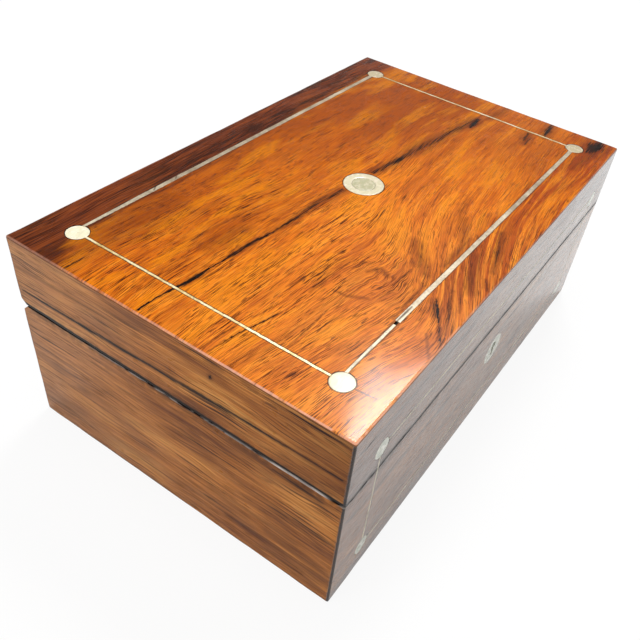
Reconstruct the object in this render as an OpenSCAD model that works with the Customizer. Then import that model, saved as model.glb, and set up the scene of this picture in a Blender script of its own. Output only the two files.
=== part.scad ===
// Antique glove box: a veneered rosewood box with a hinged lid, pearl and
// white-metal inlay, two butt hinges let into a grooved back edge, a box lock
// in the front wall and a lined interior.
// Millimetres. +X runs along the length, the front faces -Y, +Z is up.
// The origin is the middle of the underside.

/* [Box] */
// Length of the box, side to side
box_w = 240; // [210:1:300]
// Depth of the box, front to back
box_d = 150; // [130:1:190]
// Height of the lower part, table to seam
base_h = 60; // [54:0.5:80]
// Height of the lid, seam to top face
lid_h = 31.5; // [26:0.5:45]
// Open seam between the lid and the lower part when shut
seam_gap = 0.4; // [0.2:0.1:0.6]

/* [Boards and veneers] */
// Thickness of the side boards
board_t = 9; // [9:0.5:12]
// Thickness of the bottom board
bottom_t = 8; // [6:0.5:12]
// Thickness of the board under the lid's top veneer
top_t = 7; // [5:0.5:10]
// Thickness of the sawn veneer, and of the roundels let through it
veneer_t = 1; // [0.8:0.1:1.5]
// Depth of the stringing let into the veneer
string_t = 0.7; // [0.5:0.05:0.75]
// Glue line round each inlaid piece
glue_line = 0.05; // [0.03:0.01:0.1]

/* [Inlay of the lid's top] */
// Radius of a corner roundel
roundel_r = 4.35; // [3:0.05:5.5]
// Corner roundel's centre in from the short edge
roundel_in_x = 17.7; // [12:0.1:25]
// Corner roundel's centre in from the long edge
roundel_in_y = 16.8; // [12:0.1:25]
// Width of the thin stringing along the two ends
end_string_w = 1.1; // [0.8:0.1:1.6]
// Width of the broad stringing along front and back
long_string_w = 2; // [1.4:0.1:2.8]
// Width of the long stringing beside the left roundels
narrow_string_w = 1.1; // [0.8:0.1:1.3]
// Length of the narrow piece of the front stringing
narrow_len = 29; // [15:1:50]
// Break between the two pieces of the front stringing
break_len = 2; // [1:0.1:4]
// Length over which the back stringing grows to its full width
taper_len = 35; // [20:1:60]
// How far the long stringing lies behind the roundels' line at its left end
string_off_left = 1.4; // [0:0.1:2]
// How far it lies behind that line at its right end
string_off_right = 0.4; // [0:0.1:2]
// Outer radius of the ring round the centre disc
plaque_r = 8.9; // [7:0.1:12]
// Radius of the centre disc
plaque_disc_r = 5.2; // [3:0.1:6]

/* [Inlay of the front] */
// Radius of a front roundel
front_roundel_r = 4.2; // [3:0.05:5]
// Front roundel's centre in from the end
front_in_x = 19.5; // [14:0.1:28]
// Lid's front roundels, height of the centre above the seam
lid_roundel_up = 10.7; // [8:0.1:16]
// Lower front roundels, height of the centre above the table
base_roundel_up = 13.7; // [9:0.1:20]
// Width of the front stringing
front_string_w = 0.9; // [0.6:0.1:1.4]
// How far the lid's front stringing lies above its roundels' line
front_string_off = 1; // [0:0.1:2]
// Radius of the keyhole's disc
escutcheon_r = 7.5; // [6.5:0.1:9]
// Middle of the keyhole's disc below the rim
escutcheon_drop = 19.2; // [17:0.1:21]

/* [Hinges] */
// Length of a hinge
hinge_len = 32; // [24:1:44]
// Middle of a hinge from the middle of the box
hinge_at = 72; // [50:1:80]
// Hinge pin's axis in from the back face
hinge_in = 3; // [2.6:0.1:3.6]
// Thickness of a hinge leaf
leaf_t = 1; // [0.8:0.1:1.2]
// Width of a hinge leaf, from the pin's axis
leaf_w = 5.8; // [5.4:0.1:6.2]
// Outer radius of the hinge's knuckles
knuckle_r = 1.9; // [1.6:0.1:2.1]
// Radius of the hinge pin
pin_r = 0.75; // [0.6:0.05:0.9]
// Radial clearance of the pin in the knuckles
pin_gap = 0.05; // [0.02:0.01:0.08]
// Gap between two knuckles, and round them
knuckle_gap = 0.25; // [0.15:0.05:0.4]
// Slope of each half of the back groove, which stops the open lid
groove_angle = 45; // [45:0.5:50]

/* [Lock] */
// Width of the lock's plate
lock_w = 46; // [44:1:56]
// Height of the lock's plate
lock_h = 28; // [27:0.5:32]
// Thickness of the lock's plate and of the link plate
plate_t = 1.4; // [1:0.1:1.6]
// Depth of the lock's top edge and of the link plate
selvedge_d = 7.6; // [7.2:0.1:8]
// Length of the link plate
link_w = 40; // [36:1:46]
// Depth of the lock's case behind its plate
case_d = 6; // [5.8:0.1:6.2]
// Width of the lock's case
case_w = 34; // [33.4:0.2:35]
// Height of the lock's case
case_h = 23; // [22.5:0.5:25]
// Thickness of the sheet that the case is made of
case_t = 0.8; // [0.5:0.1:0.8]
// Distance from the middle of the lock to each staple
staple_at = 8; // [7.6:0.1:8.2]
// Thickness of a staple along the bolt's travel
staple_t = 1.6; // [1.2:0.1:1.8]
// Width of a staple
staple_w = 4.2; // [3.8:0.1:4.4]
// Length of a staple below the link plate
staple_len = 8.2; // [8:0.1:8.4]
// Travel of the bolt
bolt_travel = 4.2; // [3.6:0.1:4.4]
// Thickness of the bolt
bolt_t = 2; // [1.6:0.1:2.2]
// Height of the bolt's bar
bolt_h = 5.4; // [5:0.1:5.8]
// Top of the bolt's bar below the rim
bolt_drop = 8.8; // [8.7:0.1:9.2]
// Height of a bolt finger
finger_h = 1.8; // [1.4:0.1:2]
// Clearance of a bolt finger in its staple's eye
eye_gap = 0.4; // [0.2:0.05:0.45]
// Clearance of the bolt to the staples at each end of its travel
bolt_gap = 0.5; // [0.3:0.05:0.55]
// Radius of the two pins that guide the bolt
guide_r = 0.8; // [0.6:0.05:0.9]
// Radius of the pin that the hollow key turns on
key_pin_r = 0.9; // [0.7:0.05:1.1]
// Radius of the keyhole's round top
key_r = 2.1; // [1.8:0.1:2.4]
// Width of the keyhole's slot
key_slot_w = 2; // [1.4:0.1:2.6]
// Length of the keyhole's slot below the key pin
key_drop = 5.6; // [4.6:0.1:6.2]
// Thickness of the bolt's spring
spring_t = 0.4; // [0.3:0.05:0.6]
// Width of the bolt's spring, foot to foot
spring_w = 6; // [5:0.1:6.4]

/* [Screws] */
// Radius of a screw's head
head_r = 1.5; // [1.3:0.05:1.6]
// Height of a screw's countersunk head
head_h = 0.75; // [0.5:0.05:0.8]
// Radius of a screw's shank
shank_r = 0.75; // [0.6:0.05:0.85]
// Length of a screw
screw_len = 6.5; // [5:0.1:6.8]
// Width of the slot in a screw's head
driver_w = 0.4; // [0.3:0.05:0.6]
// Clearance round a screw
screw_gap = 0.05; // [0.02:0.01:0.1]

/* [Lining] */
// Thickness of the covered boards that line the walls
lining_t = 2; // [1.5:0.1:3]
// Thickness of the covered board on the floor
floor_t = 2; // [1.5:0.1:4]
// Height of the lining's lip above the rim
lip_h = 2.5; // [1:0.1:4]
// Clearance of the lip and of the lid's lining over it
lip_gap = 0.4; // [0.3:0.05:0.8]
// Thickness of the lid's lining
lid_lining_t = 1.2; // [0.8:0.1:2]
// Thickness of the card under the lid's pad
card_t = 1.2; // [0.8:0.1:2]
// Thickness of the lid's pad
pad_t = 6; // [3:0.5:9]
// Clearance round the lid's pad
pad_gap = 0.4; // [0.3:0.1:1]
// How far the pad's crown draws in from its edge
pad_draw = 8; // [4:1:14]

/* [Hidden] */

ROSEWOOD = "#8f4416";
ROSEWOOD_TOP = "#b35a1c";
MAHOGANY = "#6d3a22";
PEARL = "#efe8cf";
PEARL_GREY = "#cfcbaa";
WHITE_METAL = "#c9c2ac";
BRASS = "#b8923f";
STEEL = "#8c8f93";
VELVET = "#5c1226";
SILK = "#8d2338";

$fn = 64;
// How far a cut runs past the faces that it opens
lap = 1;

half_w = box_w / 2;
half_d = box_d / 2;
// Outer faces of the boards, under the veneer
core_x = half_w - veneer_t;
core_y = half_d - veneer_t;
// Inner faces of the walls
in_x = core_x - board_t;
in_y = core_y - board_t;

// Underside of the lid, its ceiling and the boards' top
lid_z = base_h + seam_gap;
top_z = base_h + lid_h;
veneer_z = top_z - veneer_t;
string_z = top_z - string_t;
ceiling_z = veneer_z - top_t;

// Hinge axis and the root of the back groove
hinge_y = half_d - hinge_in;
hinge_z = base_h + seam_gap / 2;
groove_y = hinge_y - seam_gap / 2;
knuckles = 5;
knuckle_len = hinge_len / knuckles;
pocket_r = knuckle_r + knuckle_gap;
hinge_screws = 3;
hinge_screw_y = hinge_y - (pocket_r + leaf_w) / 2;
hinge_screw_step = hinge_len / hinge_screws;

// Inlay centres
roundel_x = half_w - roundel_in_x;
roundel_y = half_d - roundel_in_y;
front_x = half_w - front_in_x;
lid_roundel_z = base_h + lid_roundel_up;
escutcheon_z = base_h - escutcheon_drop;
narrow_end_x = -roundel_x + roundel_r + narrow_len;
broad_start_x = narrow_end_x + break_len;

// Lock, from the inner face of the front wall outwards
plate_y = -in_y - plate_t;
case_y = plate_y - case_d;
case_in_y = case_y + case_t;
case_top = base_h - plate_t;
case_floor = case_top - case_h;
bolt_y = (plate_y + case_in_y) / 2;
bolt_top = base_h - bolt_drop;
bolt_bottom = bolt_top - bolt_h;
staple_bottom = lid_z - staple_len;
// Eye of a staple, between its foot and the rim
eye_w = bolt_t + 2 * eye_gap;
eye_h = finger_h + 2 * eye_gap;
staple_foot = 1;
eye_bottom = staple_bottom + staple_foot;
finger_bottom = eye_bottom + eye_gap;
finger_top = finger_bottom + finger_h;
// Bolt fingers, measured back from the staple they enter
riser_w = 1.8;
finger_tip = -staple_t / 2 - bolt_gap;
riser_edge = finger_tip - bolt_travel;
riser_start = riser_edge - riser_w;
bar_start = -staple_at + riser_start;
bar_end = staple_at + finger_tip + finger_h;
// Guide pins run in slots in the bolt's bar
guide_x = [-staple_at - 0.5 * staple_t, staple_at - 1.5 * staple_t];
guide_gap = 0.1;
guide_z = bolt_top - guide_gap - guide_r - finger_h / 2;
// The key's pin lies so that the keyhole is centred in its disc
key_z = escutcheon_z + (key_drop - key_r) / 2;
talon_w = 2 * key_slot_w;
talon_h = bolt_h / 4;
mortise_gap = 0.1;
slot_gap = 0.5;
lock_screw_x = (lock_w + case_w) / 4 + mortise_gap;
lock_screw_z = base_h - lock_h + 2 * head_r;
link_screw_x = [-link_w / 2 + 1.5 * head_r, 0, link_w / 2 - 1.5 * head_r];

// Lining
floor_z = bottom_t + floor_t;
lip_top = base_h + lip_h;
lid_lining_z = lip_top + lip_gap;
card_z = ceiling_z - card_t;
pad_x = in_x - lid_lining_t - pad_gap;
pad_y = in_y - lid_lining_t - pad_gap;
// Cut in the front lining, round the lock's plate
notch_gap = 1;

// A box between two corners
module block(low, high) {
    translate(low) cube(high - low);
}

// A box centred on the middle plane of the box
module centred(width, y0, y1, z0, z1) {
    block([-width / 2, y0, z0], [width / 2, y1, z1]);
}

module disc_z(r, x, y, z0, z1) {
    translate([x, y, z0]) cylinder(h = z1 - z0, r = r);
}

module disc_y(r, x, z, y0, y1) {
    translate([x, y1, z]) rotate([90, 0, 0]) cylinder(h = y1 - y0, r = r);
}

module rod_x(r, x0, x1, y, z) {
    translate([x0, y, z]) rotate([0, 90, 0]) cylinder(h = x1 - x0, r = r);
}

// An outline in Y and Z, drawn along the whole length of the box
module along_x(points) {
    translate([-half_w - lap, 0, 0]) rotate([90, 0, 90])
        linear_extrude(box_w + 2 * lap) polygon(points);
}

// Front or back board, mitred at both ends
module long_board(side, z0, z1) {
    mirror([0, side > 0 ? 1 : 0, 0]) translate([0, 0, z0]) linear_extrude(z1 - z0)
        polygon([[-core_x, -core_y], [core_x, -core_y], [in_x, -in_y], [-in_x, -in_y]]);
}

// Left or right board, mitred at both ends
module end_board(side, z0, z1) {
    mirror([side < 0 ? 1 : 0, 0, 0]) translate([0, 0, z0]) linear_extrude(z1 - z0)
        polygon([[core_x, -core_y], [core_x, core_y], [in_x, in_y], [in_x, -in_y]]);
}

// The lower half of the groove along the back edge
module base_groove() {
    reach = hinge_in + lap;
    drop = reach * tan(groove_angle);
    along_x([[groove_y, base_h + lap], [groove_y, base_h],
        [groove_y + reach, base_h - drop], [groove_y + reach, base_h + lap]]);
}

// The upper half, in the lid
module lid_groove() {
    translate([0, 0, 2 * hinge_z]) mirror([0, 0, 1]) base_groove();
}

// Countersunk screw pointing down, its head's face at z = 0
module screw() {
    difference() {
        union() {
            translate([0, 0, -head_h]) cylinder(h = head_h, r1 = shank_r, r2 = head_r);
            translate([0, 0, -screw_len]) cylinder(h = screw_len - head_h, r = shank_r);
        }
        block([-head_r, -driver_w / 2, -head_h / 2], [head_r, driver_w / 2, lap]);
    }
}

// The hole that a screw fills, open above its head
module screw_hole() {
    translate([0, 0, -head_h])
        cylinder(h = head_h, r1 = shank_r + screw_gap, r2 = head_r + screw_gap);
    cylinder(h = lap, r = head_r + screw_gap);
    translate([0, 0, -screw_len - screw_gap]) cylinder(h = screw_len, r = shank_r + screw_gap);
}

module at_base_hinge_screws() {
    for (side = [-1, 1], i = [0 : hinge_screws - 1])
        translate([side * hinge_at + (i - (hinge_screws - 1) / 2) * hinge_screw_step,
            hinge_screw_y, base_h]) children();
}

module at_lid_hinge_screws() {
    translate([0, 0, 2 * hinge_z]) mirror([0, 0, 1]) at_base_hinge_screws() children();
}

module at_lock_screws() {
    for (side = [-1, 1]) {
        translate([side * lock_screw_x, bolt_y, base_h]) children();
        translate([side * lock_screw_x, -in_y, lock_screw_z]) rotate([-90, 0, 0]) children();
    }
}

module at_link_screws() {
    for (x = link_screw_x) translate([x, bolt_y, lid_z]) mirror([0, 0, 1]) children();
}

// Room in the wood for the leaves and knuckles of both hinges
module base_hinge_mortises() {
    for (side = [-1, 1]) translate([side * hinge_at, 0, 0]) {
        centred(hinge_len + 2 * mortise_gap, hinge_y - leaf_w - mortise_gap, hinge_y,
            base_h - leaf_t, base_h + lap);
        rod_x(pocket_r, -hinge_len / 2 - mortise_gap, hinge_len / 2 + mortise_gap,
            hinge_y, hinge_z);
    }
}

module lid_hinge_mortises() {
    translate([0, 0, 2 * hinge_z]) mirror([0, 0, 1]) base_hinge_mortises();
}

// Keyhole through y0 to y1, larger all round by grow
module keyhole(grow, y0, y1) {
    disc_y(key_r + grow, 0, key_z, y0, y1);
    centred(key_slot_w + 2 * grow, y0, y1, key_z - key_drop - grow, key_z);
}

// Lower part: boards

module bottom_board() {
    color(MAHOGANY) block([-core_x, -core_y, 0], [core_x, core_y, bottom_t]);
}

module base_front_board() {
    color(MAHOGANY) difference() {
        long_board(-1, bottom_t, base_h);
        centred(lock_w + 2 * mortise_gap, plate_y, -in_y + lap,
            base_h - lock_h - mortise_gap, base_h + lap);
        centred(lock_w + 2 * mortise_gap, -in_y - selvedge_d - mortise_gap, -in_y + lap,
            case_top, base_h + lap);
        centred(case_w + 2 * mortise_gap, case_y - mortise_gap, -in_y + lap,
            case_floor - mortise_gap, base_h + lap);
        keyhole(mortise_gap, -core_y - lap, case_y);
        at_lock_screws() screw_hole();
    }
}

module base_back_board() {
    color(MAHOGANY) difference() {
        long_board(1, bottom_t, base_h);
        base_groove();
        base_hinge_mortises();
        at_base_hinge_screws() screw_hole();
    }
}

module base_left_board() {
    color(MAHOGANY) difference() {
        end_board(-1, bottom_t, base_h);
        base_groove();
    }
}

module base_right_board() {
    color(MAHOGANY) difference() {
        end_board(1, bottom_t, base_h);
        base_groove();
    }
}

// Lower part: veneers. Front and back cover the ends of the side veneers.

module base_front_veneer() {
    color(ROSEWOOD) difference() {
        centred(box_w, -half_d, -core_y, 0, base_h);
        for (side = [-1, 1])
            disc_y(front_roundel_r + glue_line, side * front_x, base_roundel_up,
                -half_d - lap, -core_y + lap);
        base_string_runs(glue_line, lap);
        disc_y(escutcheon_r + glue_line, 0, escutcheon_z, -half_d - lap, -core_y + lap);
    }
}

module base_back_veneer() {
    color(ROSEWOOD) difference() {
        centred(box_w, core_y, half_d, 0, base_h);
        base_groove();
        base_hinge_mortises();
    }
}

module base_side_veneer(side) {
    color(ROSEWOOD) difference() {
        mirror([side < 0 ? 1 : 0, 0, 0])
            block([core_x, -core_y, 0], [half_w, core_y, base_h]);
        base_groove();
    }
}

module base_left_veneer() {
    base_side_veneer(-1);
}

module base_right_veneer() {
    base_side_veneer(1);
}

// Inlay of the lower front. The runs are grown for their grooves.

module base_string_runs(grow, out) {
    w = front_string_w / 2 + grow;
    y0 = -half_d - out;
    y1 = -half_d + string_t;
    centred(2 * front_x, y0, y1, base_roundel_up - w, base_roundel_up + w);
    for (side = [-1, 1])
        block([side * front_x - w, y0, base_roundel_up], [side * front_x + w, y1, base_h + out]);
}

module base_roundels() {
    color(PEARL) for (side = [-1, 1])
        disc_y(front_roundel_r, side * front_x, base_roundel_up, -half_d, -core_y);
}

module base_stringing() {
    color(WHITE_METAL) difference() {
        base_string_runs(0, 0);
        for (side = [-1, 1])
            disc_y(front_roundel_r + glue_line, side * front_x, base_roundel_up,
                -half_d - lap, -core_y + lap);
    }
}

module escutcheon() {
    color(PEARL) difference() {
        disc_y(escutcheon_r, 0, escutcheon_z, -half_d, -core_y);
        keyhole(0, -half_d - lap, -core_y + lap);
    }
}

// Lining of the lower part: boards covered in velvet, standing proud of the
// rim as a lip that the lid shuts over

module floor_lining() {
    color(VELVET) block([-in_x, -in_y, bottom_t], [in_x, in_y, floor_z]);
}

module lip_wall(low, high, inset) {
    block(low, [high[0], high[1], base_h]);
    block([low[0] + inset[0], low[1] + inset[1], base_h],
        [high[0] + inset[2], high[1] + inset[3], lip_top]);
}

module front_lining() {
    color(VELVET) difference() {
        lip_wall([-in_x, -in_y, floor_z], [in_x, -in_y + lining_t, base_h],
            [lip_gap, lip_gap, -lip_gap, 0]);
        centred(lock_w + 2 * notch_gap, -in_y - lap, -in_y + lining_t + lap,
            base_h - lock_h - notch_gap, lip_top + lap);
    }
}

module back_lining() {
    color(VELVET) lip_wall([-in_x, in_y - lining_t, floor_z], [in_x, in_y, base_h],
        [lip_gap, 0, -lip_gap, -lip_gap]);
}

module left_lining() {
    color(VELVET) lip_wall([-in_x, -in_y + lining_t, floor_z],
        [-in_x + lining_t, in_y - lining_t, base_h], [lip_gap, 0, 0, 0]);
}

module right_lining() {
    color(VELVET) lip_wall([in_x - lining_t, -in_y + lining_t, floor_z],
        [in_x, in_y - lining_t, base_h], [0, 0, -lip_gap, 0]);
}

// Hinges

// One leaf of one hinge, lying below the seam. First is 0 or 1: the first of
// every second knuckle that this leaf carries.
module hinge_leaf(first) {
    difference() {
        union() {
            centred(hinge_len, hinge_y - leaf_w, hinge_y, base_h - leaf_t, base_h);
            for (k = [first : 2 : knuckles - 1])
                rod_x(knuckle_r, knuckle_x(k) + knuckle_gap / 2,
                    knuckle_x(k + 1) - knuckle_gap / 2, hinge_y, hinge_z);
        }
        for (k = [1 - first : 2 : knuckles - 1])
            rod_x(pocket_r, knuckle_x(k) - knuckle_gap / 2,
                knuckle_x(k + 1) + knuckle_gap / 2, hinge_y, hinge_z);
        rod_x(pin_r + pin_gap, -hinge_len / 2 - lap, hinge_len / 2 + lap, hinge_y, hinge_z);
    }
}

function knuckle_x(k) = -hinge_len / 2 + k * knuckle_len;

module hinge_base_leaves() {
    color(BRASS) difference() {
        for (side = [-1, 1]) translate([side * hinge_at, 0, 0]) hinge_leaf(0);
        at_base_hinge_screws() screw_hole();
    }
}

module hinge_lid_leaves() {
    color(BRASS) difference() {
        translate([0, 0, 2 * hinge_z]) mirror([0, 0, 1])
            for (side = [-1, 1]) translate([side * hinge_at, 0, 0]) hinge_leaf(1);
        at_lid_hinge_screws() screw_hole();
    }
}

module hinge_pins() {
    color(BRASS) for (side = [-1, 1])
        rod_x(pin_r, side * hinge_at - hinge_len / 2, side * hinge_at + hinge_len / 2,
            hinge_y, hinge_z);
}

module hinge_base_screws() {
    color(BRASS) at_base_hinge_screws() screw();
}

module hinge_lid_screws() {
    color(BRASS) at_lid_hinge_screws() screw();
}

// Lock

module staple_slots() {
    for (side = [-1, 1])
        block([side * staple_at - staple_t / 2 - slot_gap, bolt_y - staple_w / 2 - slot_gap,
            case_top - lap],
            [side * staple_at + staple_t / 2 + slot_gap, bolt_y + staple_w / 2 + slot_gap,
            base_h + lap]);
}

module lock_plate() {
    color(BRASS) difference() {
        union() {
            centred(lock_w, plate_y, -in_y, base_h - lock_h, base_h);
            centred(lock_w, -in_y - selvedge_d, -in_y, case_top, base_h);
        }
        staple_slots();
        at_lock_screws() screw_hole();
        for (x = guide_x) disc_y(guide_r + screw_gap, x, guide_z, plate_y - lap, -in_y + lap);
        disc_y(key_pin_r + screw_gap, 0, key_z, plate_y - lap, -in_y + lap);
    }
}

module lock_case() {
    color(STEEL) difference() {
        centred(case_w, case_y, plate_y, case_floor, case_top);
        centred(case_w - 2 * case_t, case_in_y, plate_y + lap, case_floor + case_t,
            case_top + lap);
        keyhole(0, case_y - lap, case_in_y + lap);
    }
}

// The two guide pins and the key's pin, riveted through the plate
module lock_pins() {
    color(STEEL) {
        for (x = guide_x) disc_y(guide_r, x, guide_z, case_in_y + guide_gap, -in_y);
        disc_y(key_pin_r, 0, key_z, case_y, -in_y);
    }
}

module lock_screws() {
    color(BRASS) at_lock_screws() screw();
}

// The bolt's outline in X and Z, at rest, unlocked
module bolt_outline() {
    translate([bar_start, bolt_bottom]) square([bar_end - bar_start, bolt_h]);
    for (side = [-1, 1]) translate([side * staple_at, 0]) {
        translate([riser_start, bolt_top - guide_gap])
            square([riser_w, finger_top - bolt_top + guide_gap]);
        translate([riser_start, finger_bottom]) square([finger_tip - riser_start, finger_h]);
    }
}

// Slot round a guide pin, as long as the travel
module guide_slot(x) {
    r = guide_r + guide_gap;
    translate([x - bolt_travel, guide_z - r]) square([bolt_travel, 2 * r]);
    translate([x, guide_z]) circle(r);
    translate([x - bolt_travel, guide_z]) circle(r);
}

module lock_bolt() {
    color(BRASS) translate([0, bolt_y + bolt_t / 2, 0]) rotate([90, 0, 0])
        linear_extrude(bolt_t) difference() {
            bolt_outline();
            for (x = guide_x) guide_slot(x);
            translate([-talon_w / 2 - bolt_travel / 2, bolt_bottom - lap])
                square([talon_w, talon_h + lap]);
        }
}

// Arched strip on the bolt that rubs under the lock's top edge
module bolt_spring() {
    r = spring_w / 2;
    x = staple_at + riser_start - bolt_gap - r;
    crown_z = case_top - guide_gap - r;
    color(STEEL) translate([x, bolt_y + bolt_t / 2, 0]) rotate([90, 0, 0])
        linear_extrude(bolt_t) difference() {
            union() {
                translate([0, crown_z]) circle(r);
                translate([-r, bolt_top]) square([spring_w, crown_z - bolt_top]);
            }
            translate([0, crown_z]) circle(r - spring_t);
            translate([-r + spring_t, bolt_top - lap])
                square([spring_w - 2 * spring_t, crown_z - bolt_top + lap]);
        }
}

// Lid: boards

module lid_top_board() {
    color(MAHOGANY) block([-core_x, -core_y, ceiling_z], [core_x, core_y, veneer_z]);
}

module lid_front_rail() {
    color(MAHOGANY) difference() {
        long_board(-1, lid_z, ceiling_z);
        centred(link_w + 2 * mortise_gap, -in_y - selvedge_d - mortise_gap, -in_y + lap,
            lid_z - lap, lid_z + plate_t);
        at_link_screws() screw_hole();
    }
}

module lid_back_rail() {
    color(MAHOGANY) difference() {
        long_board(1, lid_z, ceiling_z);
        lid_groove();
        lid_hinge_mortises();
        at_lid_hinge_screws() screw_hole();
    }
}

module lid_left_rail() {
    color(MAHOGANY) difference() {
        end_board(-1, lid_z, ceiling_z);
        lid_groove();
    }
}

module lid_right_rail() {
    color(MAHOGANY) difference() {
        end_board(1, lid_z, ceiling_z);
        lid_groove();
    }
}

// Lid: veneers. The top sheet is laid last and covers the edges of the rest.

module lid_top_veneer() {
    color(ROSEWOOD_TOP) difference() {
        block([-half_w, -half_d, veneer_z], [half_w, half_d, top_z]);
        at_roundels() disc_z(roundel_r + glue_line, 0, 0, -lap, veneer_t + lap);
        disc_z(plaque_r + glue_line, 0, 0, veneer_z - lap, top_z + lap);
        end_string_runs(glue_line, lap);
        long_string_runs(glue_line, break_len, lap);
    }
}

module lid_front_veneer() {
    color(ROSEWOOD) difference() {
        centred(box_w, -half_d, -core_y, lid_z, veneer_z);
        for (side = [-1, 1])
            disc_y(front_roundel_r + glue_line, side * front_x, lid_roundel_z,
                -half_d - lap, -core_y + lap);
        lid_front_string_runs(glue_line, lap);
    }
}

module lid_back_veneer() {
    color(ROSEWOOD) difference() {
        centred(box_w, core_y, half_d, lid_z, veneer_z);
        lid_groove();
        lid_hinge_mortises();
    }
}

module lid_side_veneer(side) {
    color(ROSEWOOD) difference() {
        mirror([side < 0 ? 1 : 0, 0, 0])
            block([core_x, -core_y, lid_z], [half_w, core_y, veneer_z]);
        lid_groove();
    }
}

module lid_left_veneer() {
    lid_side_veneer(-1);
}

module lid_right_veneer() {
    lid_side_veneer(1);
}

// Inlay of the lid's top

module at_roundels() {
    for (i = [-1, 1], j = [-1, 1]) translate([i * roundel_x, j * roundel_y, veneer_z]) children();
}

module end_string_runs(grow, out) {
    w = end_string_w / 2 + grow;
    for (side = [-1, 1])
        block([side * roundel_x - w, -roundel_y, string_z],
            [side * roundel_x + w, roundel_y, top_z + out]);
}

// Where the long stringing's middle lies, behind the roundels' own line
function string_y(side, x) = side * roundel_y + string_off_left
    + (string_off_right - string_off_left) * (x + roundel_x) / (2 * roundel_x);

// A strip whose edges run through the given [x, width] stations
module long_strip(side, stations, grow, out) {
    front_edge = [for (s = stations) [s[0], string_y(side, s[0]) - s[1] / 2 - grow]];
    back_edge = [for (i = [len(stations) - 1 : -1 : 0])
        [stations[i][0], string_y(side, stations[i][0]) + stations[i][1] / 2 + grow]];
    translate([0, 0, string_z]) linear_extrude(string_t + out)
        polygon(concat(front_edge, back_edge));
}

// More is how far the narrow piece's groove runs on, into the break
module long_string_runs(grow, more, out) {
    long_strip(-1, [[-roundel_x, narrow_string_w], [narrow_end_x + more, narrow_string_w]],
        grow, out);
    long_strip(-1, [[broad_start_x, long_string_w], [roundel_x, long_string_w]], grow, out);
    long_strip(1, [[-roundel_x, narrow_string_w], [-roundel_x + taper_len, long_string_w],
        [roundel_x, long_string_w]], grow, out);
}

module lid_roundels() {
    color(PEARL) at_roundels() disc_z(roundel_r, 0, 0, 0, veneer_t);
}

module plaque_ring() {
    color(PEARL) difference() {
        disc_z(plaque_r, 0, 0, veneer_z, top_z);
        disc_z(plaque_disc_r + glue_line, 0, 0, veneer_z - lap, top_z + lap);
    }
}

module plaque_disc() {
    color(PEARL_GREY) disc_z(plaque_disc_r, 0, 0, veneer_z, top_z);
}

module lid_end_stringing() {
    color(WHITE_METAL) difference() {
        end_string_runs(0, 0);
        at_roundels() disc_z(roundel_r + glue_line, 0, 0, -lap, veneer_t + lap);
    }
}

module lid_long_stringing() {
    color(WHITE_METAL) difference() {
        long_string_runs(0, 0, 0);
        at_roundels() disc_z(roundel_r + glue_line, 0, 0, -lap, veneer_t + lap);
    }
}

// Inlay of the lid's front

module lid_front_string_runs(grow, out) {
    w = front_string_w / 2 + grow;
    y0 = -half_d - out;
    y1 = -half_d + string_t;
    z = lid_roundel_z + front_string_off;
    centred(2 * front_x, y0, y1, z - w, z + w);
    for (side = [-1, 1])
        block([side * front_x - w, y0, lid_z - out], [side * front_x + w, y1, lid_roundel_z]);
}

module lid_front_roundels() {
    color(PEARL) for (side = [-1, 1])
        disc_y(front_roundel_r, side * front_x, lid_roundel_z, -half_d, -core_y);
}

module lid_front_stringing() {
    color(WHITE_METAL) difference() {
        lid_front_string_runs(0, 0);
        for (side = [-1, 1])
            disc_y(front_roundel_r + glue_line, side * front_x, lid_roundel_z,
                -half_d - lap, -core_y + lap);
    }
}

// Link plate in the lid's front rail, with the two staples that the bolt
// passes through

module link_plate() {
    color(BRASS) difference() {
        union() {
            centred(link_w, -in_y - selvedge_d, -in_y, lid_z, lid_z + plate_t);
            for (side = [-1, 1])
                block([side * staple_at - staple_t / 2, bolt_y - staple_w / 2, staple_bottom],
                    [side * staple_at + staple_t / 2, bolt_y + staple_w / 2, lid_z + plate_t]);
        }
        centred(2 * staple_at + staple_t + 2 * lap, bolt_y - eye_w / 2, bolt_y + eye_w / 2,
            eye_bottom, eye_bottom + eye_h);
        at_link_screws() screw_hole();
    }
}

module link_screws() {
    color(BRASS) at_link_screws() screw();
}

// Lining of the lid

module lid_front_lining() {
    color(VELVET) block([-in_x, -in_y, lid_lining_z], [in_x, -in_y + lid_lining_t, ceiling_z]);
}

module lid_back_lining() {
    color(VELVET) block([-in_x, in_y - lid_lining_t, lid_lining_z], [in_x, in_y, ceiling_z]);
}

module lid_left_lining() {
    color(VELVET) block([-in_x, -in_y + lid_lining_t, lid_lining_z],
        [-in_x + lid_lining_t, in_y - lid_lining_t, ceiling_z]);
}

module lid_right_lining() {
    color(VELVET) mirror([1, 0, 0]) lid_left_lining();
}

module lid_pad_card() {
    color(MAHOGANY) block([-pad_x, -pad_y, card_z], [pad_x, pad_y, ceiling_z]);
}

// Silk pad, drawn in towards its crown
module lid_pad() {
    color(SILK) hull() {
        block([-pad_x, -pad_y, card_z - pad_t / 2], [pad_x, pad_y, card_z]);
        block([-pad_x + pad_draw, -pad_y + pad_draw, card_z - pad_t],
            [pad_x - pad_draw, pad_y - pad_draw, card_z]);
    }
}

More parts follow.
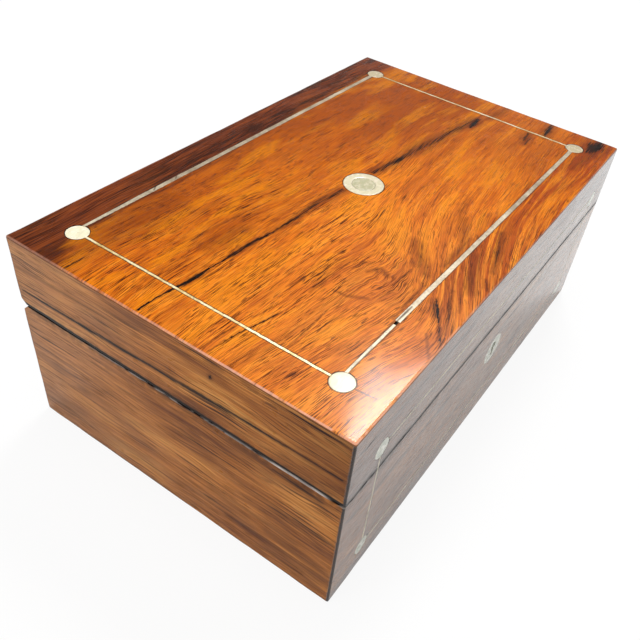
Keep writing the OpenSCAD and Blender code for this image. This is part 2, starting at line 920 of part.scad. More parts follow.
bottom_board();
base_front_board();
base_back_board();
base_left_board();
base_right_board();
base_front_veneer();
base_back_veneer();
base_left_veneer();
base_right_veneer();
base_roundels();
base_stringing();
escutcheon();
floor_lining();
front_lining();
back_lining();
left_lining();
right_lining();
hinge_base_leaves();
hinge_pins();
hinge_base_screws();
lock_plate();
lock_case();
lock_pins();
lock_screws();
lock_bolt();
bolt_spring();
lid_top_board();
lid_front_rail();
lid_back_rail();
lid_left_rail();
lid_right_rail();
lid_top_veneer();
lid_front_veneer();
lid_back_veneer();
lid_left_veneer();
lid_right_veneer();
lid_roundels();
plaque_ring();
plaque_disc();
lid_end_stringing();
lid_long_stringing();
lid_front_roundels();
lid_front_stringing();
hinge_lid_leaves();
hinge_lid_screws();
link_plate();
link_screws();
lid_front_lining();
lid_back_lining();
lid_left_lining();
lid_right_lining();
lid_pad_card();
lid_pad();
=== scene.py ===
# An antique glove box: a rosewood-veneered box with a hinged lid, pearl and white-metal inlay,
# brass hinges and lock, and a velvet and silk interior. Metres, as the frame has it: +X runs
# along the length, the front faces -Y, +Z is up, and the box stands on z = 0.

import math

import bmesh
import bpy
from mathutils import Matrix, Vector
from mathutils.noise import noise


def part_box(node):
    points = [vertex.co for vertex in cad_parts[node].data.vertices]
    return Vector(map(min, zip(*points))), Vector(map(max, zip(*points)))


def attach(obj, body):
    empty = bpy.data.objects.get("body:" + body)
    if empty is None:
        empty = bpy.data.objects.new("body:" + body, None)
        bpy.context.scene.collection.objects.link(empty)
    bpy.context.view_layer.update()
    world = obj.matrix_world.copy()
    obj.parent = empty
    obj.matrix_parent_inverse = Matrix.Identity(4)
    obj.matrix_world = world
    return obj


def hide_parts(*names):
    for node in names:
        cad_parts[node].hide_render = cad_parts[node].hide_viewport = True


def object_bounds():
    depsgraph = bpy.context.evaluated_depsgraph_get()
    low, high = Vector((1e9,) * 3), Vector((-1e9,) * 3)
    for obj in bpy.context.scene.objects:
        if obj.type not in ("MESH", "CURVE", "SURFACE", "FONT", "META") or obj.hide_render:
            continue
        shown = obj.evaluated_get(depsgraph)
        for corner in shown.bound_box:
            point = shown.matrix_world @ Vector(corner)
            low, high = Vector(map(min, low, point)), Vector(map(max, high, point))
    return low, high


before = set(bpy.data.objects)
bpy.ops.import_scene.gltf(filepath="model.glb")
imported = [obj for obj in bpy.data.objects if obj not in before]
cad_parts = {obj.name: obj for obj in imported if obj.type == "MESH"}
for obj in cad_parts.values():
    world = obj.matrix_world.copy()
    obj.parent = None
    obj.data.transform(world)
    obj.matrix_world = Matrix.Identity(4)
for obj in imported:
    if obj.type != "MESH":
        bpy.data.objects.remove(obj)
cad_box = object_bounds()
MM = 0.001

# The bench is a broad white table top in a pale studio, under one softbox and an overhead one.
# It looks white to the camera and in polish, keeps the box's soft shadow, and sends no extra
# light on to the box.

TABLE_HALF = 3.0
TABLE_PAINT = (0.86, 0.86, 0.855)
# How much whiter it looks than it is lit, straight and in polish
TABLE_LIFT = {"Is Camera Ray": 0.9, "Is Glossy Ray": 0.32}


def studio_table():
    table = bmesh.new()
    bmesh.ops.create_grid(table, x_segments=1, y_segments=1, size=TABLE_HALF)
    shape = bpy.data.meshes.new("table")
    table.to_mesh(shape)
    table.free()
    top = bpy.data.objects.new("table", shape)
    bpy.context.scene.collection.objects.link(top)
    paint = bpy.data.materials.new("white table")
    paint.use_nodes = True
    nodes, links = paint.node_tree.nodes, paint.node_tree.links
    nodes.clear()
    matt = nodes.new("ShaderNodeBsdfDiffuse")
    matt.inputs["Color"].default_value = (*TABLE_PAINT, 1)
    white = nodes.new("ShaderNodeEmission")
    seen = nodes.new("ShaderNodeLightPath")
    shares = []
    for kind, lift in TABLE_LIFT.items():
        share = nodes.new("ShaderNodeMath")
        share.operation = "MULTIPLY"
        links.new(seen.outputs[kind], share.inputs[0])
        share.inputs[1].default_value = lift
        shares.append(share)
    share = nodes.new("ShaderNodeMath")
    share.operation = "MAXIMUM"
    links.new(shares[0].outputs[0], share.inputs[0])
    links.new(shares[1].outputs[0], share.inputs[1])
    mixed = nodes.new("ShaderNodeMixShader")
    links.new(share.outputs[0], mixed.inputs["Fac"])
    links.new(matt.outputs[0], mixed.inputs[1])
    links.new(white.outputs[0], mixed.inputs[2])
    out = nodes.new("ShaderNodeOutputMaterial")
    links.new(mixed.outputs[0], out.inputs["Surface"])
    shape.materials.append(paint)


# Brightness of the studio by the sine of the height above the horizon: pale walls, a dimmer
# band where walls meet the ceiling, and a bright ceiling
STUDIO_WALLS = ((0.0, 0.95), (0.2, 0.9), (0.36, 0.12), (0.76, 0.14), (0.95, 0.95), (1.0, 1.0))


def studio_light():
    world = bpy.data.worlds.new("studio")
    bpy.context.scene.world = world
    world.use_nodes = True
    nodes, links = world.node_tree.nodes, world.node_tree.links
    sky = nodes["Background"]
    direction = nodes.new("ShaderNodeTexCoord")
    height = nodes.new("ShaderNodeSeparateXYZ")
    links.new(direction.outputs["Generated"], height.inputs[0])
    walls = nodes.new("ShaderNodeValToRGB")
    walls.color_ramp.interpolation = "EASE"
    stops = walls.color_ramp.elements
    for i, (at, grey) in enumerate(STUDIO_WALLS):
        stop = stops[i] if i < len(stops) else stops.new(at)
        stop.position = at
        stop.color = (grey, grey, grey, 1)
    links.new(height.outputs["Z"], walls.inputs["Fac"])
    links.new(walls.outputs["Color"], sky.inputs["Color"])


def softbox(name, distance, azimuth, elevation, width, height, watts):
    """A rectangular lamp that faces the box. Azimuth is from +X towards +Y."""
    lamp = bpy.data.lights.new(name, "AREA")
    lamp.shape = "RECTANGLE"
    lamp.size, lamp.size_y, lamp.energy = width, height, watts
    stand = bpy.data.objects.new(name, lamp)
    a, e = math.radians(azimuth), math.radians(elevation)
    towards = Vector((math.cos(a) * math.cos(e), math.sin(a) * math.cos(e), math.sin(e)))
    stand.location = towards * distance
    stand.rotation_mode = "QUATERNION"
    stand.rotation_quaternion = towards.to_track_quat("Z", "Y")
    bpy.context.scene.collection.objects.link(stand)


# The camera stands close to the near left corner and looks down along the lid
EYE = Vector((-0.236608, -0.129332, 0.249070))
GAZE = Vector((0.655260, 0.352266, -0.668238))
CAMERA_ROLL = 8.29
LENS = 40.32
LENS_SHIFT = (-0.0418, 0.0167)


def studio_camera():
    lens = bpy.data.cameras.new("camera")
    lens.lens, lens.sensor_width = LENS, 36
    lens.shift_x, lens.shift_y = LENS_SHIFT
    lens.clip_start = 0.01
    camera = bpy.data.objects.new("camera", lens)
    level = GAZE.cross(Vector((0, 0, 1))).normalized()
    upright = level.cross(GAZE)
    c, s = math.cos(math.radians(CAMERA_ROLL)), math.sin(math.radians(CAMERA_ROLL))
    turned = Matrix((c * level + s * upright, c * upright - s * level, -GAZE)).transposed()
    camera.matrix_world = Matrix.Translation(EYE) @ turned.to_4x4()
    bpy.context.scene.collection.objects.link(camera)
    bpy.context.scene.camera = camera


studio_table()
studio_light()
softbox("window", 1.8, 14.5, 57.5, 0.42, 0.52, 20)
softbox("overhead", 1.6, 200, 80, 0.9, 0.9, 9)
softbox("side light", 1.5, 153, 33, 0.35, 0.7, 2)
studio_camera()
bpy.context.scene.view_settings.view_transform = "Standard"

# The carcase is mahogany: four mitred boards glued on a bottom board, and four mitred rails
# under the lid's top board. Only the rims, the mitres and the underside show. Every piece is cut
# to the frame's own shape and its arrises eased, as hand tools leave them.

FRONT_BACK, LEFT_RIGHT = cad_box[1].y, cad_box[1].x
TOP_FACE = cad_box[1].z
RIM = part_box("base_front_veneer")[1].z
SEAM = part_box("lid_front_veneer")[0].z


# How far apart two patterns lie that must not look alike
SEED_STEP = 31.7


class Strand:
    """A number or colour that varies over a surface; sums of strands add Math nodes."""

    def __init__(self, finish, socket):
        self.finish, self.socket = finish, socket

    def math(self, kind, *others):
        node = self.finish.node("ShaderNodeMath", operation=kind)
        for place, given in zip(node.inputs, (self, *others)):
            self.finish.join(given, place)
        return Strand(self.finish, node.outputs[0])

    def __add__(self, other):
        return self.math("ADD", other)

    def __sub__(self, other):
        return self.math("SUBTRACT", other)

    def __mul__(self, other):
        return self.math("MULTIPLY", other)

    def __truediv__(self, other):
        return self.math("DIVIDE", other)

    def __abs__(self):
        return self.math("ABSOLUTE")

    def __invert__(self):
        """What is left of it to one."""
        return (self * -1) + 1

    def __or__(self, other):
        """The stronger of the two."""
        return self.math("MAXIMUM", other)

    def rise(self, low, high):
        """Nought up to low, one from high on, and smooth between; low may be the larger."""
        node = self.finish.node("ShaderNodeMapRange", interpolation_type="SMOOTHSTEP")
        for name, given in (("Value", self), ("From Min", low), ("From Max", high)):
            self.finish.join(given, node.inputs[name])
        return Strand(self.finish, node.outputs["Result"])


class Finish:
    """A surface finish: one shader, and the strands and colours that feed it, in millimetres."""

    def __init__(self, name):
        self.material = bpy.data.materials.new(name)
        self.material.use_nodes = True
        self.tree = self.material.node_tree
        self.tree.nodes.clear()
        self.shader = self.node("ShaderNodeBsdfPrincipled")
        out = self.node("ShaderNodeOutputMaterial")
        self.tree.links.new(self.shader.outputs[0], out.inputs["Surface"])
        place = Strand(self, self.node("ShaderNodeTexCoord").outputs["Object"])
        split = self.node("ShaderNodeSeparateXYZ")
        self.join(self.scaled(place, 1 / MM), split.inputs[0])
        self.x, self.y, self.z = (Strand(self, socket) for socket in split.outputs)

    def node(self, kind, **settings):
        made = self.tree.nodes.new(kind)
        for name, value in settings.items():
            setattr(made, name, value)
        return made

    def join(self, given, place):
        if isinstance(given, Strand):
            self.tree.links.new(given.socket, place)
        elif isinstance(given, str):
            place.default_value = ink(given)
        else:
            place.default_value = given

    def spot(self, u, v, w=0.0):
        made = self.node("ShaderNodeCombineXYZ")
        for place, given in zip(made.inputs, (u, v, w)):
            self.join(given, place)
        return Strand(self, made.outputs[0])

    def vector(self, kind, *given):
        made = self.node("ShaderNodeVectorMath", operation=kind)
        for place, one in zip(made.inputs, given):
            self.join(one, place)
        single = kind in ("DISTANCE", "DOT_PRODUCT", "LENGTH")
        return Strand(self, made.outputs["Value" if single else "Vector"])

    def scaled(self, vector, share):
        made = self.node("ShaderNodeVectorMath", operation="SCALE")
        self.join(vector, made.inputs[0])
        self.join(share, made.inputs["Scale"])
        return Strand(self, made.outputs[0])

    def cloud(self, along, across, through=0.0, seed=0, detail=2.0, rough=0.5):
        """Soft noise round a half, whose lumps are one unit long in each given strand."""
        made = self.node("ShaderNodeTexNoise")
        self.join(self.spot(along, across, through + seed * SEED_STEP), made.inputs["Vector"])
        for name, value in (("Scale", 1.0), ("Detail", detail), ("Roughness", rough)):
            made.inputs[name].default_value = value
        return Strand(self, made.outputs["Fac"])

    def dye(self, under, over, amount):
        """One colour laid over another."""
        made = self.node("ShaderNodeMix", data_type="RGBA")
        self.join(amount, made.inputs["Factor"])
        self.join(under, made.inputs["A"])
        self.join(over, made.inputs["B"])
        return Strand(self, made.outputs["Result"])

    def shades(self, strand, *stops):
        """Colours along a strand, as (place, colour) pairs."""
        made = self.node("ShaderNodeValToRGB")
        ramp = made.color_ramp.elements
        for i, (at, colour) in enumerate(stops):
            stop = ramp[i] if i < 2 else ramp.new(at)
            stop.position, stop.color = at, ink(colour)
        self.join(strand, made.inputs["Fac"])
        return Strand(self, made.outputs["Color"])

    def wear(self, colour, roughness, height, depth_mm):
        """Feeds the shader with what varies: colour, roughness and the height of the surface."""
        self.join(colour, self.shader.inputs["Base Color"])
        self.join(roughness, self.shader.inputs["Roughness"])
        relief = self.node("ShaderNodeBump")
        relief.inputs["Distance"].default_value = depth_mm * MM
        self.join(height, relief.inputs["Height"])
        self.tree.links.new(relief.outputs[0], self.shader.inputs["Normal"])

    def set(self, **sockets):
        """Sets what is the same all over: specular_ior_level=0.3 and the like."""
        for name, value in sockets.items():
            socket = self.shader.inputs[name.replace("_", " ").title().replace("Ior", "IOR")]
            socket.default_value = ink(value) if isinstance(value, str) else value
        return self.material


def ink(colour):
    """A screen colour as the shader takes it."""
    parts = [int(colour[i:i + 2], 16) / 255 for i in (1, 3, 5)]
    return (*[p / 12.92 if p <= 0.04045 else ((p + 0.055) / 1.055) ** 2.4 for p in parts], 1)


def cut_skin(node, every):
    """The frame's piece as one clean skin, cut across every so often so that it can be worn."""
    skin = bmesh.new()
    skin.from_mesh(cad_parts[node].data)
    bmesh.ops.remove_doubles(skin, verts=skin.verts, dist=0.001 * MM)
    bmesh.ops.dissolve_limit(
        skin, angle_limit=math.radians(0.5), verts=skin.verts, edges=skin.edges)
    low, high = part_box(node)
    for axis in range(3):
        count = round((high[axis] - low[axis]) / every) if every else 0
        normal = Vector([axis == i for i in range(3)])
        for i in range(1, count):
            bmesh.ops.bisect_plane(
                skin, geom=[*skin.verts, *skin.edges, *skin.faces], dist=1e-7,
                plane_co=low.lerp(high, i / count), plane_no=normal)
    return skin


def every_arris(width):
    return lambda a, b: width


def shaped(node, arris, every=0.0, moved=None):
    """A mesh of the frame's piece with eased arrises, and its points moved where asked."""
    skin = cut_skin(node, every * MM)
    eased = skin.edges.layers.float.new("bevel_weight_edge")
    widths = {}
    for edge in skin.edges:
        if edge.is_manifold and edge.calc_face_angle_signed() > math.radians(35):
            widths[edge] = arris(*[v.co for v in edge.verts])
    widest = max([*widths.values(), 0.001])
    for edge, width in widths.items():
        edge[eased] = width / widest
    mesh = bpy.data.meshes.new(node)
    skin.to_mesh(mesh)
    skin.free()
    rough_cut = bpy.data.objects.new("rough_cut", mesh)
    bpy.context.scene.collection.objects.link(rough_cut)
    easing = rough_cut.modifiers.new("easing", "BEVEL")
    easing.limit_method, easing.width, easing.segments = "WEIGHT", widest * MM, 3
    seen = rough_cut.evaluated_get(bpy.context.evaluated_depsgraph_get())
    mesh = bpy.data.meshes.new_from_object(seen)
    bpy.data.objects.remove(rough_cut)
    return smoothed(mesh, moved)


def smoothed(mesh, moved=None):
    """Moves a mesh's points where asked, and shades it smooth between its hard edges."""
    skin = bmesh.new()
    skin.from_mesh(mesh)
    for vertex in skin.verts:
        vertex.co = moved(vertex.co.copy()) if moved else vertex.co
    skin.normal_update()
    for face in skin.faces:
        face.smooth = True
    for edge in skin.edges:
        edge.smooth = edge.calc_face_angle(math.pi) < math.radians(40)
    whole = bpy.data.meshes.new(mesh.name)
    skin.to_mesh(whole)
    skin.free()
    if "custom_normal" in whole.attributes:
        whole.attributes.remove(whole.attributes["custom_normal"])
    return whole


def lay(name, mesh, body, material, slot, *stands_for):
    """Puts a finished piece on its body, in place of the frame's plain ones."""
    mesh.materials.clear()
    mesh.materials.append(material)
    piece = bpy.data.objects.new(name, mesh)
    bpy.context.scene.collection.objects.link(piece)
    evened = piece.modifiers.new("even shading", "WEIGHTED_NORMAL")
    evened.keep_sharp = True
    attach(piece, body)
    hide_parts(*stands_for)
    return piece


def mahogany(name, along, across, through, seed):
    f = Finish(name)
    u, v, w = (getattr(f, axis) for axis in (along, across, through))
    bent = v + f.cloud(u / 60, v / 20, w / 20, seed) * 5
    band = f.cloud(u / 80, bent / 5, w / 5, seed + 1, 3)
    thread = f.cloud(u / 18, bent / 0.8, w / 0.8, seed + 2, 2)
    pore = f.cloud(u / 2.5, bent / 0.25, w / 0.25, seed + 3, 1).rise(0.6, 0.7)
    stain = f.cloud(u / 14, v / 9, w / 9, seed + 4, 3).rise(0.5, 0.75)
    wood = f.shades(band * 0.6 + thread * 0.4, (0.3, "#4a2110"), (0.5, "#7a3f22"), (0.7, "#9a5a34"))
    wood = f.dye(wood, "#3a1a0e", pore * 0.6)
    wood = f.dye(wood, "#3d2013", stain * 0.5)
    f.wear(wood, thread * 0.3 + 0.4, thread * 0.3 - pore, 0.08)
    return f.set(specular_ior_level=0.3)


BOARD_ARRIS = 0.12
long_mahogany = mahogany("mahogany along the box", "x", "y", "z", 1)
cross_mahogany = mahogany("mahogany across the box", "y", "x", "z", 2)
for node in ("bottom_board", "base_front_board", "base_back_board", "lid_top_board",
             "lid_front_rail", "lid_back_rail"):
    body = "lid" if node.startswith("lid") else "base"
    lay(node + ".wood", shaped(node, every_arris(BOARD_ARRIS)), body, long_mahogany,
        "mahogany", node)
for node in ("base_left_board", "base_right_board", "lid_left_rail", "lid_right_rail"):
    body = "lid" if node.startswith("lid") else "base"
    lay(node + ".wood", shaped(node, every_arris(BOARD_ARRIS)), body, cross_mahogany,
        "mahogany", node)

# The sides are covered in saw-cut rosewood about a millimetre thick, glued on and French
# polished before the lid was sawn off, so the figure runs on across the seam. The ends are
# browned and satin, and hands have rubbed the seam's arris; the front keeps its full gloss.

TOP_ARRIS, CORNER_ARRIS, FOOT_ARRIS, SEAM_ARRIS = 0.85, 0.75, 0.4, 0.25
RUBBED_BASE, RUBBED_LID = 0.85, 0.6
RUBBED_FROM, RUBBED_TO = 0.04, -0.05


def box_arris(a, b):
    """Width in mm to which the edge from a to b is eased, if it is one of the box's arrises."""
    near = 0.01 * MM
    end = abs(abs(a.x) - LEFT_RIGHT) < near and abs(abs(b.x) - LEFT_RIGHT) < near
    face = abs(abs(a.y) - FRONT_BACK) < near and abs(abs(b.y) - FRONT_BACK) < near
    level = any(abs(a.z - z) < near and abs(b.z - z) < near for z in (0, RIM, SEAM, TOP_FACE))
    if end and face:
        return CORNER_ARRIS
    if not level or not (end or face):
        return 0
    if a.z > SEAM + MM:
        return TOP_ARRIS
    if a.z < MM:
        return FOOT_ARRIS
    rubbed = (a.y - RUBBED_FROM) / (RUBBED_TO - RUBBED_FROM) if end and a.x < 0 else 0
    worn = RUBBED_BASE if a.z < SEAM - 0.1 * MM else RUBBED_LID
    return SEAM_ARRIS + (worn - SEAM_ARRIS) * min(max(rubbed, 0), 1)


# Depth to which handling bites into the arrises, and how far the veneered faces stray from flat
BITE, BITE_REACH, BITE_GRAIN = 0.2 * MM, 1.1 * MM, 140
STRAY, STRAY_GRAIN = 0.045 * MM, 26


def handled(p):
    """Where a point of the veneered outside ends up after long use."""
    top, bottom = (TOP_FACE, SEAM) if p.z > (RIM + SEAM) / 2 else (RIM, 0)
    gaps = sorted([
        (LEFT_RIGHT - abs(p.x), (math.copysign(1, p.x), 0, 0)),
        (FRONT_BACK - abs(p.y), (0, math.copysign(1, p.y), 0)),
        (top - p.z, (0, 0, 1)), (p.z - bottom, (0, 0, -1))])
    bite = max(0, 1 - gaps[1][0] / BITE_REACH) * BITE * max(0, noise(p * BITE_GRAIN) + 0.2)
    stray = Vector([noise(p * STRAY_GRAIN + Vector((7 * i, 3, 5))) for i in range(3)]) * STRAY
    return p - (Vector(gaps[0][1]) + Vector(gaps[1][1])) * bite + stray


def course(f, strand, points):
    """A smooth line through (place, height) points, read at a strand."""
    places, heights = zip(*points)
    low, high = min(heights), max(max(heights), min(heights) + 0.001)
    node = f.node("ShaderNodeFloatCurve")
    curve = node.mapping.curves[0]
    for i, (at, height) in enumerate(points):
        mark = ((at - places[0]) / (places[-1] - places[0]), (height - low) / (high - low))
        if i in (0, len(points) - 1):
            curve.points[-1 if i else 0].location = mark
        else:
            curve.points.new(*mark)
    node.mapping.update()
    f.join((strand - places[0]) / (places[-1] - places[0]), node.inputs["Value"])
    return Strand(f, node.outputs[0]) * (high - low) + low


def vein(f, u, v, line):
    """A dark vein through (place, height, half its width) points along the grain."""
    centre = course(f, u, [(at, height) for at, height, half in line])
    half_width = course(f, u, [(at, half) for at, height, half in line])
    first, last = line[0][0], line[-1][0]
    inside = u.rise(first - 0.5, first + 2) * u.rise(last + 0.5, last - 2)
    return (abs(v - centre) / half_width).rise(2.8, 0.1) * inside


def fleck(f, spot, start, end, half_width):
    """A dark fleck from start to end: one in its middle and nought away from it."""
    run = Vector((end[0] - start[0], end[1] - start[1], 0))
    offset = f.vector("SUBTRACT", spot, (*start, 0))
    share = f.vector("DOT_PRODUCT", offset, run / run.length_squared)
    share = share.math("MAXIMUM", 0.0).math("MINIMUM", 1.0)
    away = f.vector("DISTANCE", offset, f.scaled(run, share))
    return (away + abs(share - 0.5) * half_width).rise(half_width * 2.4, half_width * 0.1)


def figure(f, u, v, veins, flecks, threads, ragged):
    """The dark marks of a face: their soft stain, and their cores, frayed along the grain."""
    v = v + (f.cloud(u / 2.6, v / 0.8, 0, 10, 2) - 0.5) * ragged
    dark = None
    for line, depth in veins:
        mark = vein(f, u, v, line) * depth
        dark = (dark | mark) if dark else mark
    spot = f.spot(u, v)
    for start, end, half_width, depth in flecks:
        mark = fleck(f, spot, start, end, half_width) * depth
        dark = (dark | mark) if dark else mark
    return dark.math("POWER", 0.5), (dark + (threads - 0.5) * ragged).rise(0.58, 0.95)


def grime_and_shade(f):
    """Dark upright corners and foot, smudges under the rim, and a painted shadow in the seam."""
    mottled = f.cloud(f.x / 3, f.y / 3, f.z / 3, 40, 3).rise(0.3, 0.62)
    short_of_corner = abs(f.x) + abs(f.y) - (LEFT_RIGHT + FRONT_BACK) / MM
    corner = short_of_corner.rise(-0.85, -0.65) * f.z.rise(TOP_FACE / MM - 0.6, TOP_FACE / MM - 2)
    # Painted shadow in the seam's gap and on the lid's lower arris over it, with some dirt
    seam_shadow = abs(f.z - SEAM / MM - 0.4).rise(1.3, 0.9)
    smudged = abs(f.z - RIM / MM).rise(5, 0.5) * mottled
    foot = f.z.rise(1.6, 0.2)
    return corner * 0.9 + seam_shadow * 0.97 + smudged * 0.5 + foot * 0.6 * mottled


def side_rosewood(name, along, seed, tones, veins, flecks, shine, bloom_and_sheen, coat, specular):
    """Rosewood whose grain runs level along a side; bloom_and_sheen is milky polish and painted sheen."""
    f = Finish(name)
    u = getattr(f, along)
    depth = f.y if along == "x" else f.x
    bent = f.z + (f.cloud(u / 60, f.z / 14, depth / 20, seed, 2) - 0.5) * 7
    broad = f.cloud(u / 55, bent / 12, depth / 11, seed + 1, 2)
    streaks = f.cloud(u / 60, bent / 1.9, depth / 4, seed + 2, 3)
    threads = f.cloud(u / 24, bent / 0.42, depth / 2, seed + 3, 1)
    tone = broad * 0.42 + streaks * 0.26 + threads * 0.32
    wood = f.shades(tone, *tones)
    cool = f.cloud(u / 36, bent / 8, depth / 9, seed + 4, 2).rise(0.45, 0.72)
    wood = f.dye(wood, "#6b3f24", cool * 0.4)
    # Milky old polish with painted sheen, lighter towards the back end
    wood = f.dye(wood, "#b98c68", f.y.rise(-30, 90) * bloom_and_sheen)
    # Painted shade: the lid darker towards its front end, and over the whole lid front
    wood = f.dye(wood, "#4a2410", f.y.rise(-20, -85) * f.z.rise(58, 66) * 0.55)
    pore = f.cloud(u / 8, bent / 0.3, depth / 0.6, seed + 5, 0).rise(0.59, 0.65)
    crowd = f.cloud(u / 50, bent / 3, depth / 9, seed + 9, 1).rise(0.38, 0.6) * 0.45 + 0.5
    crowd = crowd + f.y.rise(10, -70) * 0.2
    hair = f.cloud(u / 42, bent / 0.55, depth / 2, seed + 6, 1).rise(0.595, 0.645) * crowd
    stain, core = figure(f, u, f.z, veins, flecks, threads, 0.8)
    wood = f.dye(wood, "#2e150a", (pore * crowd * 0.5) | (hair * 0.9) | (stain * 0.42))
    dirt_and_shade = grime_and_shade(f).math("MINIMUM", 1.0)
    # Near-black for the figure's cores, the dirt and the painted seam shadow
    wood = f.dye(wood, "#170c07", core | dirt_and_shade)
    patchy = f.cloud(u / 5, f.z, 0, seed + 8, 2).rise(0.38, 0.55)
    # Painted glint: a pale line on the rubbed rim arris at the left end, brightest near the front
    rubbed = abs(f.z - RIM / MM + 0.3).rise(0.32, 0.15) * f.x.rise(0, -100)
    gleam = f.y.rise(-38, -50) * f.y.rise(-71, -66) * (patchy * 0.4 + 0.6)
    rubbed = rubbed * (gleam | f.y.rise(60, 10) * patchy * 0.35)
    wood = f.dye(wood, "#e6dad0", rubbed * 0.9)
    smear = f.cloud(u / 13, f.z / 13, depth / 13, seed + 7, 3)
    f.wear(wood, smear * 0.25 + shine + pore * 0.15, tone * 0.5 - pore * 0.6, 0.04)
    bare = dirt_and_shade | core.rise(0.8, 0.95)
    f.join((~bare * coat) | rubbed, f.shader.inputs["Coat Weight"])
    return f.set(specular_ior_level=specular, coat_roughness=0.06, coat_ior=1.38)


END_TONES = ((0.36, "#703912"), (0.44, "#9c5b22"), (0.52, "#c27833"), (0.62, "#dc994c"))
HIDDEN_TONES = ((0.36, "#5c2d12"), (0.44, "#854a20"), (0.52, "#a8642f"), (0.62, "#c48547"))
FRONT_TONES = ((0.35, "#32190b"), (0.44, "#704018"), (0.52, "#965f2d"), (0.64, "#b58148"))
SATIN = {"coat": 0.0, "specular": 0.12}
GLOSS = {"coat": 0.7, "specular": 0.34}

left_rosewood = side_rosewood("rosewood on the left", "y", 11, END_TONES, [
    ([(-74, 72.8, 0.35), (-40, 72.2, 0.6), (0, 70.6, 0.9), (30, 69.2, 0.85), (55, 68.2, 0.6),
      (74, 67.9, 0.45)], 0.92),
    ([(19, 80.2, 0.25), (40, 80.0, 0.5), (74, 78.5, 0.45)], 0.7),
    ([(-74, 36.6, 0.25), (-50, 37.4, 0.5), (-28, 38.2, 0.3)], 0.65),
    ([(-60, 22.8, 0.25), (-45, 23.6, 0.55), (-28, 24.2, 0.3)], 0.65),
    ([(-74, 11.8, 0.35), (-50, 12.6, 0.55), (-25, 11.2, 0.25)], 0.65),
], [
    ((-20.4, 82.1), (-20.8, 83.4), 0.95, 1.0), ((-19, 89.2), (-25, 88.9), 1.0, 0.6),
    ((-34, 89.6), (-39, 89.3), 0.8, 0.5), ((-45, 65.6), (8, 65.0), 0.5, 0.45),
    ((-47, 57.0), (-67, 56.0), 1.5, 0.85), ((-28, 57.4), (-44, 57.0), 1.0, 0.65),
    ((-46, 19.4), (-72, 17.8), 1.6, 0.5), ((-20, 23.0), (-36, 19.0), 1.7, 0.4),
    ((44, 30.4), (49, 30.0), 1.3, 0.6), ((58, 34), (62, 33), 2.2, 0.35),
], 0.2, 0.4, **SATIN)
right_rosewood = side_rosewood("rosewood on the right", "y", 23, HIDDEN_TONES, [
    ([(-74, 66, 0.3), (-20, 68.5, 0.8), (30, 69, 0.5), (74, 67.2, 0.3)], 0.75),
    ([(-74, 41, 0.3), (-10, 44, 0.9), (40, 41, 0.8), (74, 42.5, 0.4)], 0.75),
], [
    ((20, 84), (26, 84.5), 0.9, 0.6), ((-30, 14), (-50, 15), 1.3, 0.6),
    ((35, 23), (50, 22.4), 1.2, 0.5),
], 0.2, 0.2, **SATIN)
front_rosewood = side_rosewood("rosewood in front", "x", 31, FRONT_TONES, [
    ([(-118, 84, 0.4), (-60, 82, 1.2), (0, 84.5, 0.7), (70, 82, 1.1), (118, 83, 0.5)], 0.8),
    ([(-118, 50, 0.4), (-55, 46, 1.3), (-20, 48, 0.6), (40, 52, 0.9), (118, 49, 0.6)], 0.8),
    ([(-90, 24, 0.4), (-30, 27, 1.1), (30, 24, 1.3), (95, 26, 0.4)], 0.75),
    ([(-97, 71.4, 0.3), (-20, 71.3, 0.2), (97, 71.4, 0.3)], 0.95),
    ([(-97, 14.4, 0.2), (20, 14.3, 0.3), (97, 14.4, 0.2)], 0.9),
], [
    ((60, 36), (84, 34), 1.6, 0.6), ((-84, 33), (-60, 36), 1.2, 0.5),
    ((-96.2, 69.4), (-95.6, 72.4), 0.6, 1.0), ((-101.8, 75.4), (-99.6, 74.8), 0.35, 0.9),
    ((-97.3, 17.2), (-96.1, 15.2), 0.5, 1.0), ((-99.8, 18), (-99.8, 60), 0.25, 0.8),
    ((-99.8, 60), (-99.8, 66), 0.25, 0.9), ((99.8, 18), (99.8, 66), 0.25, 0.8),
], 0.1, 0.0, **GLOSS)
back_rosewood = side_rosewood("rosewood at the back", "x", 43, HIDDEN_TONES, [
    ([(-118, 76, 0.5), (-40, 79, 1.2), (20, 77, 0.8), (118, 80, 0.5)], 0.8),
    ([(-118, 33, 0.4), (-50, 36, 1.4), (10, 33, 0.9), (70, 35, 1.2), (118, 32, 0.5)], 0.8),
], [((30, 15), (60, 14), 1.5, 0.6), ((-70, 50), (-48, 51), 1.1, 0.5)], 0.2, 0.0, **SATIN)
SIDES = {"left": left_rosewood, "right": right_rosewood, "front": front_rosewood,
         "back": back_rosewood}
for side, rosewood in SIDES.items():
    for body in ("base", "lid"):
        node = f"{body}_{side}_veneer"
        lay(node + ".wood", shaped(node, box_arris, 6, handled), body, rosewood,
            "rosewood_side", node)

# The top is one broad sheet of figured rosewood, glossier and far redder than the sides. Its
# grain sweeps round a sunken figure near the front, a black vein crosses it under the plaque,
# and its back edge is dark sapwood. Recesses are cut through it for the inlay.

